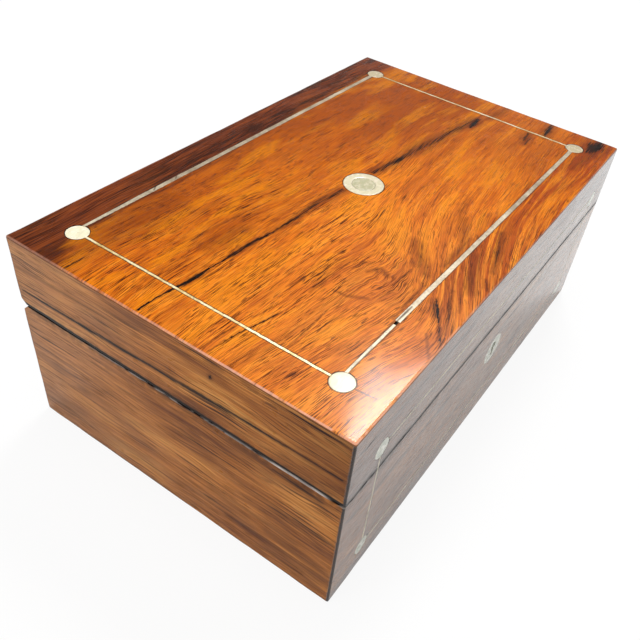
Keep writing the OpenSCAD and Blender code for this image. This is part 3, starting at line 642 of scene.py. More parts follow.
# How far the grain is drawn towards the front, along the length
SWEEP = ((-150, 0), (-100, 1.5), (-75, 5), (-58, 9), (-46, 10.5), (-36, 8), (-18, -3), (5, -15),
         (35, -24), (80, -30), (160, -32))
TOP_TONES = ((0.36, "#ae4e0a"), (0.44, "#cb640e"), (0.52, "#df7811"), (0.61, "#ee8c22"))
BARK_TONES = ((0.4, "#2e1209"), (0.5, "#5a2610"), (0.6, "#7c3a18"))
TOP_VEINS = (
    ([(-120, 11.6, 0.35), (-110.6, 11.3, 0.3), (-103, 10.6, 0.4), (-96.6, 9.4, 0.8),
      (-92, 9.2, 0.75), (-85, 9.0, 0.35), (-80, 8.5, 0.45), (-71, 8.2, 0.85), (-64, 7.7, 0.8),
      (-58, 6.9, 0.45), (-52, 6.0, 0.4)], 1.0),
    ([(-56, 6.6, 0.5), (-45, 5.9, 0.8), (-31, 5.7, 1.1), (-19, 4.7, 1.5), (-8, 4.1, 1.5)], 0.8),
    ([(9, 2.6, 1.3), (22, 0.8, 1.6), (33, -0.6, 1.6), (45, -1.4, 2.3), (58, -3.2, 2.2),
      (72, -5.0, 1.5), (84, -7.0, 1.9), (97, -8.4, 1.7)], 0.8),
    ([(-120, -18.4, 0.18), (-108, -20.0, 0.25), (-96, -22.8, 0.3), (-88, -24.6, 0.2)], 0.8),
    ([(-120, -15.8, 0.15), (-110, -16.6, 0.25), (-103, -17.6, 0.15)], 0.75),
    ([(-101, -36.2, 0.15), (-92, -36.0, 0.25), (-80, -35.6, 0.2)], 0.6),
    ([(-80, 25.2, 0.15), (-66, 24.2, 0.3), (-49, 22.4, 0.2)], 0.6),
)
TOP_FLECKS = (
    ((84, -9.6), (95, -8.6), 2.4, 1.0), ((-74, -25.2), (-65, -25.4), 0.45, 0.6),
    ((-67.5, -31), (-67.4, -36), 0.5, 0.6), ((-67.4, -36), (-63.5, -42.5), 0.6, 0.65),
    ((-50.6, -34.3), (-45.5, -37), 0.7, 0.72), ((-45.5, -37), (-48, -41.6), 0.8, 0.72),
    ((-51, -45.6), (-38.4, -45.9), 0.4, 0.85), ((-37.5, -51), (-27, -43), 1.9, 0.6),
    ((-36, -45.8), (-32.6, -43), 0.8, 0.75), ((-30, -45.5), (-21.5, -37.5), 1.8, 0.5),
    ((-67, -54.9), (-44, -54.3), 0.45, 0.7), ((-28, -54.6), (-5, -53.6), 1.1, 0.66),
    ((-9, -53), (6.5, -45.4), 1.5, 0.5), ((-76, -74), (-66, -67.6), 0.4, 0.7),
    ((-67.5, -73.7), (-58, -68), 0.6, 0.85), ((-58, -68), (-47.5, -61.2), 0.8, 0.92),
    ((-56, -65.8), (-49, -61.3), 1.4, 0.76), ((-102.4, -62.3), (-101.6, -70), 0.28, 0.9),
    ((-62, -72.8), (-39.4, -63.6), 0.5, 0.75), ((-48.8, -71.3), (-35.6, -65.4), 0.4, 0.7),
    ((-36, -68.8), (-14, -60.6), 1.8, 0.55), ((-19, -70.4), (8, -62), 1.2, 0.78),
    ((-30.5, -73.4), (-25, -70.2), 0.6, 0.75), ((88, -37.5), (100, -34.4), 2.1, 0.8),
    ((103, -42), (118, -40), 2.2, 0.88), ((104, -65.5), (119, -66), 4.6, 1.0),
    ((82, -65), (104, -66.5), 1.7, 0.6), ((98, -12), (119, -15), 1.7, 0.6), ((-120, 45.2), (-110, 45.2), 0.45, 0.85),
    ((-119, 50.5), (-108.5, 52.0), 0.8, 0.75), ((-119, 56), (-109, 57), 1.2, 0.7),
    ((-114, 51), (-66, 49), 6.5, 0.42), ((-78, 19), (-60, 15.5), 3.0, 0.4),
)


# Middle of the roundels at the corners, and of the long strings, which lie a little askew
CORNER_X, CORNER_Y, CORNER_R = 102.3, 58.2, 4.35
ASKEW_LEFT, ASKEW_RIGHT = 1.4, 0.4


def mastic(f, ragged):
    """Black filler round the inlay, and in every gap that the inlay leaves."""
    corner = f.vector("DISTANCE", f.spot(abs(f.x), abs(f.y)), (CORNER_X, CORNER_Y, 0))
    ring = abs(corner + ragged - CORNER_R - 0.1).rise(0.35, 0.1)
    middle = f.vector("DISTANCE", f.spot(f.x, f.y), (0, 0, 0))
    plaque = abs(middle + ragged - 9.0).rise(0.35, 0.1)
    askew = f.x.math("MULTIPLY_ADD", (ASKEW_RIGHT - ASKEW_LEFT) / 196, (ASKEW_RIGHT + ASKEW_LEFT) / 2)
    string = abs(abs(f.y - askew) - CORNER_Y) + ragged
    half = f.x.rise(-98, -66) * 0.45 + 0.55
    long_lines = (string - half).rise(0.42, 0.12) * abs(f.x).rise(99, 97)
    end_lines = (abs(abs(f.x) - CORNER_X) + ragged).rise(0.95, 0.65) * abs(f.y).rise(55, 53)
    depth = f.z.rise(TOP_FACE / MM - 0.12, TOP_FACE / MM - 0.3) * f.z.rise(90.6, 90.75)
    inside = abs(f.x).rise(114, 112) * abs(f.y).rise(69, 67)
    lines = long_lines * 0.6 | end_lines * 0.6
    return ring * 0.8 | plaque * 0.7 | lines | depth * inside


def top_rosewood():
    f = Finish("rosewood on top")
    drawn = course(f, f.x - (f.y + 45) * 0.8, SWEEP) * f.y.rise(10, -52)
    slow = (f.cloud(f.x / 90, f.y / 40, 0, 51, 1) - 0.5) * 12
    quick = (f.cloud(f.x / 14, f.y / 6, 0, 52, 1) - 0.5) * 0.8
    eye = f.vector("DISTANCE", f.spot(f.x, f.y), (-46, -44, 0)).rise(24, 6)
    curls = (f.cloud(f.x / 7, f.y / 6, 0, 53, 1) - 0.5) * eye * 3.5
    grain = f.y + drawn + slow + quick + curls
    broad = f.cloud(f.x / 60, grain / 13, 0, 54, 2)
    streaks = f.cloud(f.x / 40, grain / 2.6, 0, 55, 3)
    threads = f.cloud(f.x / 11, grain / 0.5, 0, 56, 1)
    tone = broad * 0.24 + streaks * 0.36 + threads * 0.4
    wood = f.shades(tone, *TOP_TONES)
    behind = f.y.rise(-15, 30) * (f.x.rise(-125, -60) * 0.36 + 0.14)
    behind = behind + f.x.rise(-30, 110) * f.y.rise(-30, 20) * 0.42 + f.y.rise(36, 52) * 0.3
    redder = behind + f.x.rise(0, 100) * 0.55 + (broad - 0.56) * 0.5
    wood = f.dye(wood, "#a04a04", redder)
    patch = f.cloud(f.x / 30, grain / 8, 0, 62, 2)
    wood = f.dye(wood, "#e88e08", patch.rise(0.5, 0.66) * 0.38)
    wood = f.dye(wood, "#94420c", patch.rise(0.48, 0.34) * 0.32)
    # Painted sheen: a pale haze of the window's glare over the near left of the top
    wood = f.dye(wood, "#f5a65e", f.y.rise(25, -45) * f.x.rise(45, -30) * 0.12)
    border = f.y.rise(-50, -58) * f.x.rise(-75, -20)
    wood = f.dye(wood, "#983a10", border * streaks.rise(0.6, 0.42) * 0.7)
    crowd = f.cloud(f.x / 15, grain / 4, 0, 63, 2).rise(0.36, 0.6) * 0.6 + 0.4
    crowd = crowd * (f.x.rise(50, -50) * 0.3 + 0.7)
    pore = f.cloud(f.x / 4.5, grain / 0.3, 0, 57, 0).rise(0.59, 0.64) * crowd
    hair = f.cloud(f.x / 13, grain / 0.33, 0, 58, 1).rise(0.6, 0.635) * crowd
    wood = f.dye(wood, "#3a1304", (pore * 0.7) | (hair * 0.95))
    bark = f.y + (f.cloud(f.x / 40, grain / 2.5, 0, 59, 2) - 0.5) * 16 + f.x.rise(-100, -120) * 9
    sapwood = bark.rise(54.5, 62)
    wood = f.dye(wood, f.shades(streaks * 0.5 + threads * 0.5, *BARK_TONES), sapwood * 0.95)
    stain, core = figure(f, f.x, f.y, TOP_VEINS, TOP_FLECKS, threads * 0.6 + streaks * 0.4, 1.5)
    wood = f.dye(wood, "#4a1b08", stain * 0.55)
    wood = f.dye(wood, "#170a05", core | mastic(f, (threads - 0.5) * 0.5))
    worn = f.cloud(f.x / 5, f.y / 5, 0, 61, 2).rise(0.25, 0.5)
    edge = (abs(f.x).rise(119.1, 119.6) | abs(f.y).rise(74.1, 74.6)) * f.z.rise(90.9, 91.1)
    outer = abs(f.x).rise(119, 119.2) | abs(f.y).rise(74, 74.2)
    wood = f.dye(wood, "#7d4a28", f.z.rise(91.1, 90.8) * outer)
    # Painted highlight along the top's left arris, pinker towards the near corner, over paler worn polish
    wood = f.dye(wood, "#f4b496", edge * f.x.rise(0, -100) * worn * (f.y.rise(60, -70) * 0.5 + 0.3))
    smear = f.cloud(f.x / 22, f.y / 16, 0, 60, 3)
    f.wear(wood, smear * 0.2 + 0.16, tone * 0.7 - pore * 0.7, 0.05)
    f.join(edge * 0.5 + 0.42, f.shader.inputs["Coat Weight"])
    return f.set(specular_ior_level=0.06, coat_roughness=0.12)


lay("lid_top_veneer.wood", shaped("lid_top_veneer", box_arris, 6, handled), "lid",
    top_rosewood(), "rosewood_top", "lid_top_veneer")

# The roundels, the plaque and the escutcheon are mother-of-pearl, sawn about as thick as the
# veneer, glued into it and levelled with it. Their rims are a little uneven and chipped, and
# the plaque is a pale ring round a greyer disc.

INLAY_DEPTH = 1.0 * MM
RIM_SEGMENTS = 56
# Radius as a share of the whole, and height over the veneer in mm, from the middle outwards
PEARL_RISE = ((0, 0.05), (0.45, 0.05), (0.8, 0.045), (0.93, 0.03), (0.985, -0.02), (1, -0.1))


def level_on_top(centre, u, v, up):
    return Vector((centre[0] + u, centre[1] + v, TOP_FACE + up))


def upright_in_front(centre, u, v, up):
    return Vector((centre[0] + u, -FRONT_BACK - up, centre[1] + v))


def pearl_disc(shell, radius, centre, standing, inner=0.0):
    """Adds a sawn disc, or a ring round an inner radius, to a mesh of several."""
    rise = [(share, up) for share, up in PEARL_RISE if share > 0.01 or not inner]
    if inner:
        span = radius - inner
        shares = [(0, -0.1), (0.06, -0.02), (0.2, 0.03)] + [r for r in rise if r[0] > 0.4]
        rings = [(inner + span * share, up) for share, up in shares]
    else:
        rings = [(radius * share, up) for share, up in rise]
    floor = -INLAY_DEPTH / MM
    rings.append((rings[-1][0], floor))
    if inner:
        rings.insert(0, (rings[0][0], floor))
    loops = []
    for reach, up in rings:
        loop = []
        for i in range(RIM_SEGMENTS if reach > 0 else 1):
            turn = math.tau * i / RIM_SEGMENTS
            uneven = noise(Vector((centre[0] * 900 + math.cos(turn) * 2.2, math.sin(turn) * 2.2, 4)))
            r = reach * (1 - 0.012 + 0.018 * uneven * (reach / radius) ** 2)
            p = standing(centre, r * math.cos(turn), r * math.sin(turn), up * MM)
            loop.append(shell.verts.new(handled(p) if up > floor else p))
        loops.append(loop)
    if inner:
        loops.append(loops[0])
    for a, b in zip(loops, loops[1:]):
        for i in range(RIM_SEGMENTS):
            j = (i + 1) % RIM_SEGMENTS
            corners = (a[0], b[i], b[j]) if len(a) == 1 else (a[i], b[i], b[j], a[j])
            shell.faces.new(corners)
    if not inner:
        shell.faces.new(reversed(loops[-1]))


def pearl_discs(name, discs, standing):
    """One mesh of discs, each given as (radius, centre, inner radius)."""
    shell = bmesh.new()
    for radius, centre, inner in discs:
        pearl_disc(shell, radius, centre, standing, inner)
    bmesh.ops.recalc_face_normals(shell, faces=shell.faces)
    mesh = bpy.data.meshes.new(name)
    shell.to_mesh(mesh)
    shell.free()
    return smoothed(mesh)


def pearl(name, seed, tones, cast, painted_shade_right=0.0):
    """Layered shell: curved growth lines, faint pink and green casts, painted shade to the right."""
    f = Finish(name)
    flow = f.cloud(f.x / 5, f.y / 5, f.z / 5, seed, 1) * 3
    lines = f.cloud(f.x / 4 + flow, f.y / 0.9 + flow, f.z / 0.9, seed + 1, 2)
    patch = f.cloud(f.x / 2.2, f.y / 2.2, f.z / 2.2, seed + 2, 2)
    shell = f.shades(lines * 0.55 + patch * 0.45, *tones)
    shell = f.dye(shell, cast[0], patch.rise(0.5, 0.68) * 0.25)
    shell = f.dye(shell, cast[1], lines.rise(0.5, 0.36) * 0.2)
    scratch = f.cloud(f.x / 0.5, f.y / 6, f.z / 6, seed + 3, 1).rise(0.62, 0.7)
    stain = f.cloud(f.x / 1.3, f.y / 1.3, f.z / 1.3, seed + 4, 3).rise(0.62, 0.72)
    shell = f.dye(shell, "#8a7a58", (scratch * 0.15) | (stain * 0.18))
    # Painted shade: darker and yellower towards the right end
    shell = f.dye(shell, "#a59270", f.x.rise(-95, 110) * painted_shade_right)
    f.wear(shell, patch * 0.2 + 0.16, lines * 0.5 - scratch * 0.4, 0.03)
    return f.set(specular_ior_level=0.5, coat_weight=0.3, coat_roughness=0.08)


def pair_span(node):
    """Half the distance between the middles of paired discs, and their radius."""
    low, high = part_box(node)
    radius = (high.z - low.z) / 2
    return high.x - radius, radius


WARM_PEARL = ((0.34, "#e6dcb9"), (0.5, "#eee6c6"), (0.66, "#f6f0da"))
GREY_PEARL = ((0.34, "#b4ad88"), (0.5, "#beb796"), (0.66, "#c9c3a4"))
COOL_PEARL = ((0.36, "#b4b8a8"), (0.5, "#cccfbf"), (0.64, "#dcdfd0"))
warm_pearl = pearl("mother-of-pearl, warm", 71, WARM_PEARL, ("#e8cfc0", "#cfd8bd"), 0.7)
grey_pearl = pearl("mother-of-pearl, grey", 77, GREY_PEARL, ("#c9b89c", "#b3bfa4"))
cool_pearl = pearl("mother-of-pearl, cool", 83, COOL_PEARL, ("#cdbdb4", "#aebfb2"))

corner = CORNER_R * MM
corners = [(i * CORNER_X * MM, j * CORNER_Y * MM) for i in (-1, 1) for j in (-1, 1)]
lay("lid_roundels.pearl", pearl_discs("roundels", [(corner, c, 0) for c in corners], level_on_top),
    "lid", warm_pearl, "pearl", "lid_roundels")
plaque_r, disc_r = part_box("plaque_ring")[1].x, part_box("plaque_disc")[1].x
lay("plaque_ring.pearl", pearl_discs("ring", [(plaque_r, (0, 0), disc_r + 0.1 * MM)],
    level_on_top), "lid", warm_pearl, "pearl", "plaque_ring")
lay("plaque_disc.pearl", pearl_discs("disc", [(disc_r, (0, 0), 0)], level_on_top),
    "lid", grey_pearl, "pearl_grey", "plaque_disc")
for node, body in (("base_roundels", "base"), ("lid_front_roundels", "lid")):
    apart, radius = pair_span(node)
    height = sum(corner.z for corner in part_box(node)) / 2
    pair = [(radius, (side * apart, height), 0) for side in (-1, 1)]
    lay(node + ".pearl", pearl_discs(node, pair, upright_in_front), body, cool_pearl, "pearl", node)
lay("escutcheon.pearl", shaped("escutcheon", every_arris(0.1), 1.5), "base", cool_pearl,
    "pearl", "escutcheon")

# The stringing is white-metal strip hammered into grooves. It wavers, stands a hair proud, and
# its broad front piece stops short of a narrower repair, with black filler between them.

PROUD, WAVER, WAVER_GRAIN, DENT_GRAIN = 0.03 * MM, 0.07 * MM, 160, 420


def hammered(outward):
    """Moves a point of a strip as the hammer left it, proud of the veneer by its outer face."""
    def moved(p):
        wave = Vector([noise(p * WAVER_GRAIN + Vector((i * 9, 1, 2))) for i in range(3)])
        dent = noise(p * DENT_GRAIN)
        off = wave * WAVER + outward * (PROUD * (1 + dent))
        return handled(p) + off
    return moved


def white_metal(name, seed, tones, marks, metallic, tarnish=0.0, dull=0.0):
    """Old strip, tarnished towards the back right, and dark along the edges of the end strings."""
    f = Finish(name)
    wander = f.cloud(f.x / 9, f.y / 9, f.z / 9, seed, 3, 0.6)
    speck = f.cloud(f.x / 1.4, f.y / 1.4, f.z / 1.4, seed + 1, 2)
    metal = f.shades(wander * 0.6 + speck * 0.4, *tones)
    spot = f.spot(f.x, f.y)
    dark = speck.rise(0.62, 0.72) * 0.5
    for start, end, half_width, depth in marks:
        dark = dark | fleck(f, spot, start, end, half_width) * depth
    metal = f.dye(metal, "#2b1d12", dark)
    wavering = (f.cloud(f.x / 3, f.y / 3, 0, seed + 3, 2) - 0.5) * 0.7
    metal = f.dye(metal, "#3a2810", abs(abs(f.x) + wavering - CORNER_X).rise(0.32, 0.5) * dull)
    brushed = f.cloud(f.x / 3, f.y / 3, f.z / 0.1, seed + 2, 1)
    behind = f.y.rise(0, 50) * f.x.rise(-85, -50) * 0.35
    along = (f.x.rise(-72, -52) * 0.25) | (f.x.rise(-40, 60) * 0.3) | behind
    metal = f.dye(metal, "#74573c", along * tarnish)
    f.wear(metal, wander * 0.3 + 0.25, speck * 0.6 + brushed * 0.3, 0.03)
    return f.set(metallic=metallic, specular_ior_level=0.5)


END_METAL = ((0.38, "#d6b672"), (0.5, "#f1deaa"), (0.62, "#fef4d2"))
LONG_METAL = ((0.38, "#a3947c"), (0.5, "#c0b399"), (0.62, "#dccfb4"))
FRONT_METAL = ((0.38, "#a89f8c"), (0.5, "#cfc7b3"), (0.62, "#e6dfca"))
# Dark seam along the broad piece's start, and old cracks across the strip at the back
LONG_MARKS = (((-66.9, -56.7), (-57, -56.8), 0.35, 1.0), ((-63.6, 59.0), (-60.8, 60.6), 0.25, 0.8),
              ((-51.4, 59.0), (-49.0, 60.6), 0.25, 0.8), ((-97, -57.4), (-84, -57.3), 0.16, 0.6))
UP, OUT_FRONT = Vector((0, 0, 1)), Vector((0, -1, 0))
STRIP_ARRIS, STRIP_CUT = 0.08, 3
end_metal = white_metal("white metal at the ends", 91, END_METAL, (), 0.3, 0.9, 0.85)
long_metal = white_metal("white metal along the top", 95, LONG_METAL, LONG_MARKS, 0.25, 1.0)
front_metal = white_metal("white metal in front", 99, FRONT_METAL, (), 0.15)
for node, body, metal, outward in (
        ("lid_end_stringing", "lid", end_metal, UP), ("lid_long_stringing", "lid", long_metal, UP),
        ("lid_front_stringing", "lid", front_metal, OUT_FRONT),
        ("base_stringing", "base", front_metal, OUT_FRONT)):
    strip = shaped(node, every_arris(STRIP_ARRIS), STRIP_CUT, hammered(outward))
    lay(node + ".metal", strip, body, metal, "white_metal", node)

# The inside is lined with boards covered in crimson velvet. The walls stand proud of the rim as
# a lip that the lid shuts over, and the floor is a velvet pad stuffed with a little wadding. The
# nap is rubbed in patches and flecked with dust.

VELVET_ARRIS, VELVET_CUT = 0.45, 3.5
LUMP, LUMP_GRAIN = 0.12 * MM, 110


def lumpy(p):
    """Cloth over board: never quite flat, and never further out than it was."""
    return p - Vector([abs(noise(p * LUMP_GRAIN + Vector((5 * i, 2, 9)))) * side
                       for i, side in enumerate((math.copysign(1, p.x) * -1,
                                                 math.copysign(1, p.y) * -1, 0))]) * LUMP


def velvet(name, seed, light, dark):
    f = Finish(name)
    rub = f.cloud(f.x / 22, f.y / 22, f.z / 22, seed, 3)
    nap = f.cloud(f.x / 1.6, f.y / 1.6, f.z / 1.6, seed + 1, 3, 0.65)
    pile = f.cloud(f.x / 0.25, f.y / 0.25, f.z / 0.25, seed + 2, 1)
    cloth = f.shades(rub * 0.3 + nap * 0.4 + pile * 0.3, (0.38, dark), (0.5, light), (0.64, "#7c1c33"))
    bald = rub.rise(0.62, 0.74) * pile.rise(0.45, 0.6)
    cloth = f.dye(cloth, "#6d3a36", bald * 0.4)
    dust = f.cloud(f.x / 0.7, f.y / 0.7, f.z / 0.7, seed + 3, 2).rise(0.66, 0.72)
    cloth = f.dye(cloth, "#a88f86", dust * 0.25)
    f.wear(cloth, pile * 0.1 + 0.85, nap * 0.6 + pile * 0.6, 0.25)
    return f.set(specular_ior_level=0.1, sheen_weight=0.55, sheen_roughness=0.35,
                 sheen_tint="#c84058")


wall_velvet = velvet("velvet on the walls", 111, "#5c1226", "#36060f")
floor_velvet = velvet("velvet on the floor", 117, "#641429", "#3b0812")
for node in ("front_lining", "back_lining", "left_lining", "right_lining",
             "lid_front_lining", "lid_back_lining", "lid_left_lining", "lid_right_lining"):
    body = "lid" if node.startswith("lid") else "base"
    lining = shaped(node, every_arris(VELVET_ARRIS), VELVET_CUT, lumpy)
    lay(node + ".velvet", lining, body, wall_velvet, "velvet", node)


def wadded(low, high, step, facing, drawn_in, rim):
    """A closed pad between two corners, full on one face and thin where its rim is tucked in.

    Facing is 1 for a pad that shows its upper face and -1 for one that hangs face down."""
    pad = bmesh.new()
    size = high - low
    across, deep = (round(size[axis] / step) for axis in (0, 1))
    back = low.z if facing > 0 else high.z
    layers = []
    for full in (False, True):
        grid = {}
        for i in range(across + 1):
            for j in range(deep + 1):
                x, y = low.x + size.x * i / across, low.y + size.y * j / deep
                inward = min(x - low.x, high.x - x, y - low.y, high.y - y)
                share = min(inward / drawn_in, 1)
                crown = rim + (1 - rim) * math.sin(share * math.pi / 2)
                z = back + facing * size.z * crown if full else back
                grid[i, j] = pad.verts.new((x, y, z))
        layers.append(grid)
    for grid, turned in zip(layers, (facing > 0, facing < 0)):
        for i in range(across):
            for j in range(deep):
                corners = [grid[i, j], grid[i + 1, j], grid[i + 1, j + 1], grid[i, j + 1]]
                pad.faces.new(reversed(corners) if turned else corners)
    edge = [(i, 0) for i in range(across)] + [(across, j) for j in range(deep)]
    edge += [(i, deep) for i in range(across, 0, -1)] + [(0, j) for j in range(deep, 0, -1)]
    for a, b in zip(edge, edge[1:] + edge[:1]):
        pad.faces.new((layers[0][a], layers[0][b], layers[1][b], layers[1][a]))
    bmesh.ops.recalc_face_normals(pad, faces=pad.faces)
    mesh = bpy.data.meshes.new("pad")
    pad.to_mesh(mesh)
    pad.free()
    return mesh


CLOTH_FRAMES = 16


def stuffed(mesh, fixed, pressure, cap, facing):
    """Lets wadding push the cloth out from its glued back, never further than a cap."""
    pad = bpy.data.objects.new("stuffing", mesh)
    bpy.context.scene.collection.objects.link(pad)
    start = [v.co.copy() for v in mesh.vertices]
    glued = pad.vertex_groups.new(name="glued")
    glued.add([v.index for v in mesh.vertices if fixed(v.co)], 1.0, "REPLACE")
    cloth = pad.modifiers.new("cloth", "CLOTH")
    cloth.settings.vertex_group_mass = "glued"
    cloth.settings.use_pressure = True
    cloth.settings.uniform_pressure_force = pressure
    cloth.settings.effector_weights.gravity = 0
    cloth.settings.tension_stiffness = cloth.settings.compression_stiffness = 25
    cloth.settings.bending_stiffness = 1.2
    cloth.point_cache.frame_end = CLOTH_FRAMES
    for day in range(1, CLOTH_FRAMES + 1):
        bpy.context.scene.frame_set(day)
    seen = pad.evaluated_get(bpy.context.evaluated_depsgraph_get())
    mesh = bpy.data.meshes.new_from_object(seen)
    bpy.context.scene.frame_set(1)
    bpy.data.objects.remove(pad)
    for vertex, was in zip(mesh.vertices, start):
        push = vertex.co - was
        push.x, push.y = push.x * 0.3, push.y * 0.3
        push.z = facing * min(max(push.z * facing, -cap * 0.1), cap)
        vertex.co = was + push
    return mesh


def finer(mesh, levels, moved):
    """Smooths a pad's mesh and puts creases in it."""
    rough = bpy.data.objects.new("rough_pad", mesh)
    bpy.context.scene.collection.objects.link(rough)
    smooth = rough.modifiers.new("smooth", "SUBSURF")
    smooth.levels = levels
    seen = rough.evaluated_get(bpy.context.evaluated_depsgraph_get())
    fine = bpy.data.meshes.new_from_object(seen)
    bpy.data.objects.remove(rough)
    return smoothed(fine, moved)


floor_low, floor_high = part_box("floor_lining")
walls_in = Vector((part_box("left_lining")[1].x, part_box("front_lining")[1].y, floor_low.z))
FLOOR_STEP, FLOOR_CAP, FLOOR_DRAWN, FLOOR_RIM = 4 * MM, 1.2 * MM, 12 * MM, 0.82
floor_back = floor_low.z + 0.1 * MM


def floor_dimples(p):
    """The hollows that gloves and hands have left in the floor's pad."""
    if p.z < floor_back + MM:
        return p
    return p + Vector((0, 0, (noise(p * 28) * 0.35 + noise(p * 90) * 0.12) * MM))


floor_pad = stuffed(
    wadded(floor_low, floor_high, FLOOR_STEP, 1, FLOOR_DRAWN, FLOOR_RIM),
    lambda p: p.z < floor_back, 1.5, FLOOR_CAP, 1)
floor_piece = lay("floor_lining.velvet", finer(floor_pad, 1, floor_dimples), "base", floor_velvet,
                  "velvet", "floor_lining")

# The hinges are a pair of cast brass butts let into the back wall, with steel-hard brass pins and
# countersunk screws. Their leaves are dull with age and a little green in patches.


def brass(name, seed, tones, brushed):
    f = Finish(name)
    dull = f.cloud(f.x / 5, f.y / 5, f.z / 5, seed, 3, 0.6)
    speck = f.cloud(f.x / 0.9, f.y / 0.9, f.z / 0.9, seed + 1, 3)
    along, across = (0.12, 5) if brushed == "y" else (6, 0.15)
    lines = f.cloud(f.x / along, f.y / across, f.z / 0.15, seed + 2, 1)
    metal = f.shades(dull * 0.75 + speck * 0.25, *tones)
    metal = f.dye(metal, "#5a4a24", speck.rise(0.62, 0.74) * 0.5)
    metal = f.dye(metal, "#4f6a4c", dull.rise(0.64, 0.74) * 0.35)
    f.wear(metal, dull * 0.3 + lines * 0.15 + 0.2, lines * 0.5 + speck * 0.3, 0.02)
    return f.set(metallic=0.95, specular_ior_level=0.5)


def steel(name, seed):
    f = Finish(name)
    cloudy = f.cloud(f.x / 4, f.y / 4, f.z / 4, seed, 3, 0.6)
    speck = f.cloud(f.x / 0.6, f.y / 0.6, f.z / 0.6, seed + 1, 3)
    filed = f.cloud(f.x / 5, f.y / 0.15, f.z / 0.15, seed + 2, 1)
    metal = f.shades(cloudy, (0.35, "#55524e"), (0.5, "#7b7873"), (0.65, "#94918b"))
    metal = f.dye(metal, "#6b3d20", speck.rise(0.55, 0.68) * 0.7)
    f.wear(metal, cloudy * 0.35 + speck * 0.2 + 0.15, filed * 0.5 + speck * 0.5, 0.03)
    return f.set(metallic=0.9, specular_ior_level=0.5)


AGED_BRASS = ((0.36, "#7d5f2b"), (0.5, "#b08d45"), (0.62, "#cbab62"))
BRIGHT_BRASS = ((0.36, "#8f6d30"), (0.5, "#c39f52"), (0.62, "#dcc07c"))
METAL_ARRIS = 0.12
aged_brass = brass("brass of the hinges", 131, AGED_BRASS, "x")
screw_brass = brass("brass of the screws", 137, BRIGHT_BRASS, "y")
pin_steel = steel("steel of the lock", 149)
for node, body in (("hinge_base_leaves", "base"), ("hinge_lid_leaves", "lid")):
    lay(node + ".brass", shaped(node, every_arris(METAL_ARRIS)), body, aged_brass, "brass", node)
lay("hinge_pins.brass", shaped("hinge_pins", every_arris(METAL_ARRIS)), "base", screw_brass,
    "brass", "hinge_pins")
for node, body in (("hinge_base_screws", "base"), ("hinge_lid_screws", "lid")):
    lay(node + ".brass", shaped(node, every_arris(METAL_ARRIS / 2)), body, screw_brass, "brass",
        node)

# The lock is a brass selvedge plate let into the front wall's rim, with a steel case riveted
# behind it. Its hooked bolt slides along the box into the staples of the lid's link plate.

plate_brass = brass("brass of the plates", 155, BRIGHT_BRASS, "x")
for node, body, metal, slot in (
        ("lock_plate", "base", plate_brass, "brass"), ("lock_case", "base", pin_steel, "steel"),
        ("lock_pins", "base", pin_steel, "steel"), ("lock_screws", "base", screw_brass, "brass"),
        ("lock_bolt", "bolt", aged_brass, "brass"), ("bolt_spring", "bolt", pin_steel, "steel"),
        ("link_plate", "lid", plate_brass, "brass"), ("link_screws", "lid", screw_brass, "brass")):
    arris = METAL_ARRIS / 2 if "screw" in node or "spring" in node else METAL_ARRIS
    lay(f"{node}.{slot}", shaped(node, every_arris(arris)), body, metal, slot, node)

# The lid's ceiling holds a card with a pad of wadding under rose silk. The silk is drawn over
# the card's edges in small gathers, which run in from the rim and die out over the crown.


def silk():
    f = Finish("rose silk")
    weft = f.cloud(f.x / 9, f.y / 0.22, 0, 161, 1)
    warp = f.cloud(f.x / 0.22, f.y / 9, 0, 162, 1)
    fade = f.cloud(f.x / 50, f.y / 50, 0, 163, 2)
    spots = f.cloud(f.x / 6, f.y / 6, 0, 164, 3).rise(0.64, 0.76)
    tone = fade * 0.3 + weft * 0.4 + warp * 0.3
    cloth = f.shades(tone, (0.4, "#a03a4e"), (0.5, "#b4505f"), (0.6, "#c46a76"))
    cloth = f.dye(cloth, "#8a4a40", spots * 0.25)
    f.wear(cloth, warp * 0.2 + 0.3, weft * 0.6 + warp * 0.4, 0.06)
    return f.set(specular_ior_level=0.4, sheen_weight=0.3, sheen_roughness=0.3,
                 sheen_tint="#f0a0b0")


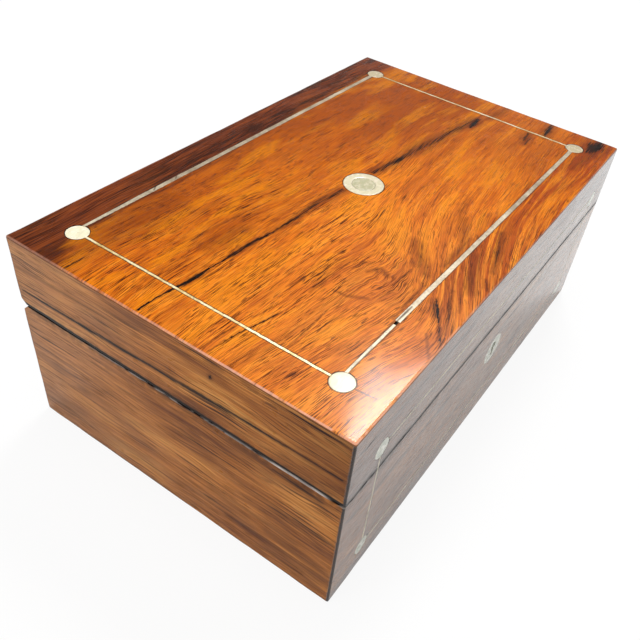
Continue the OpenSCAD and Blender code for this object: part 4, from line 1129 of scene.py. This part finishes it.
def card():
    f = Finish("pasteboard")
    fibre = f.cloud(f.x / 1.5, f.y / 0.4, f.z / 0.2, 171, 3)
    foxed = f.cloud(f.x / 9, f.y / 9, f.z / 9, 172, 3).rise(0.55, 0.7)
    board = f.shades(fibre, (0.35, "#8f7a55"), (0.5, "#ab9570"), (0.65, "#c2ae88"))
    board = f.dye(board, "#7a5a34", foxed * 0.5)
    f.wear(board, fibre * 0.2 + 0.7, fibre, 0.05)
    return f.set(specular_ior_level=0.2)


pad_low, pad_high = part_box("lid_pad")
PAD_STEP, PAD_CAP, PAD_DRAWN, PAD_RIM = 4 * MM, 2.6 * MM, 15 * MM, 0.45
GATHER_DEEP, GATHER_WIDE, GATHER_REACH = 0.95 * MM, 7.5 * MM, 32 * MM


def gathered(p):
    """Gathers in the silk: ridges that run in from the nearest rim and die out."""
    if p.z > pad_high.z - 0.2 * MM:
        return p
    to_x = pad_high.x - abs(p.x)
    to_y = pad_high.y - abs(p.y)
    inward, along = (to_x, p.y) if to_x < to_y else (to_y, p.x)
    mitre = min(abs(to_x - to_y) / (6 * MM), 1)
    swing = noise(Vector((along * 60, inward * 30, 3))) * 5
    ridge = math.sin(math.tau * along / GATHER_WIDE + swing) + 0.3 * noise(p * 260)
    fading = max(0, 1 - inward / (GATHER_REACH * (0.7 + 0.6 * noise(Vector((along * 90, 1, 1))))))
    rim = min(inward / (1.5 * MM), 1)
    deep = GATHER_DEEP * fading * rim * mitre
    soft = noise(p * 33) * 0.5 * MM * min(inward / (20 * MM), 1)
    return p - Vector((0, 0, ridge * deep + soft))


lid_pad = stuffed(
    wadded(pad_low, pad_high, PAD_STEP, -1, PAD_DRAWN, PAD_RIM),
    lambda p: p.z > pad_high.z - 0.1 * MM, 2.5, PAD_CAP, -1)
pad_piece = lay("lid_pad.silk", finer(lid_pad, 2, gathered), "lid", silk(), "silk", "lid_pad")
lay("lid_pad_card.card", shaped("lid_pad_card", every_arris(0.25), 12), "lid", card(), "card",
    "lid_pad_card")
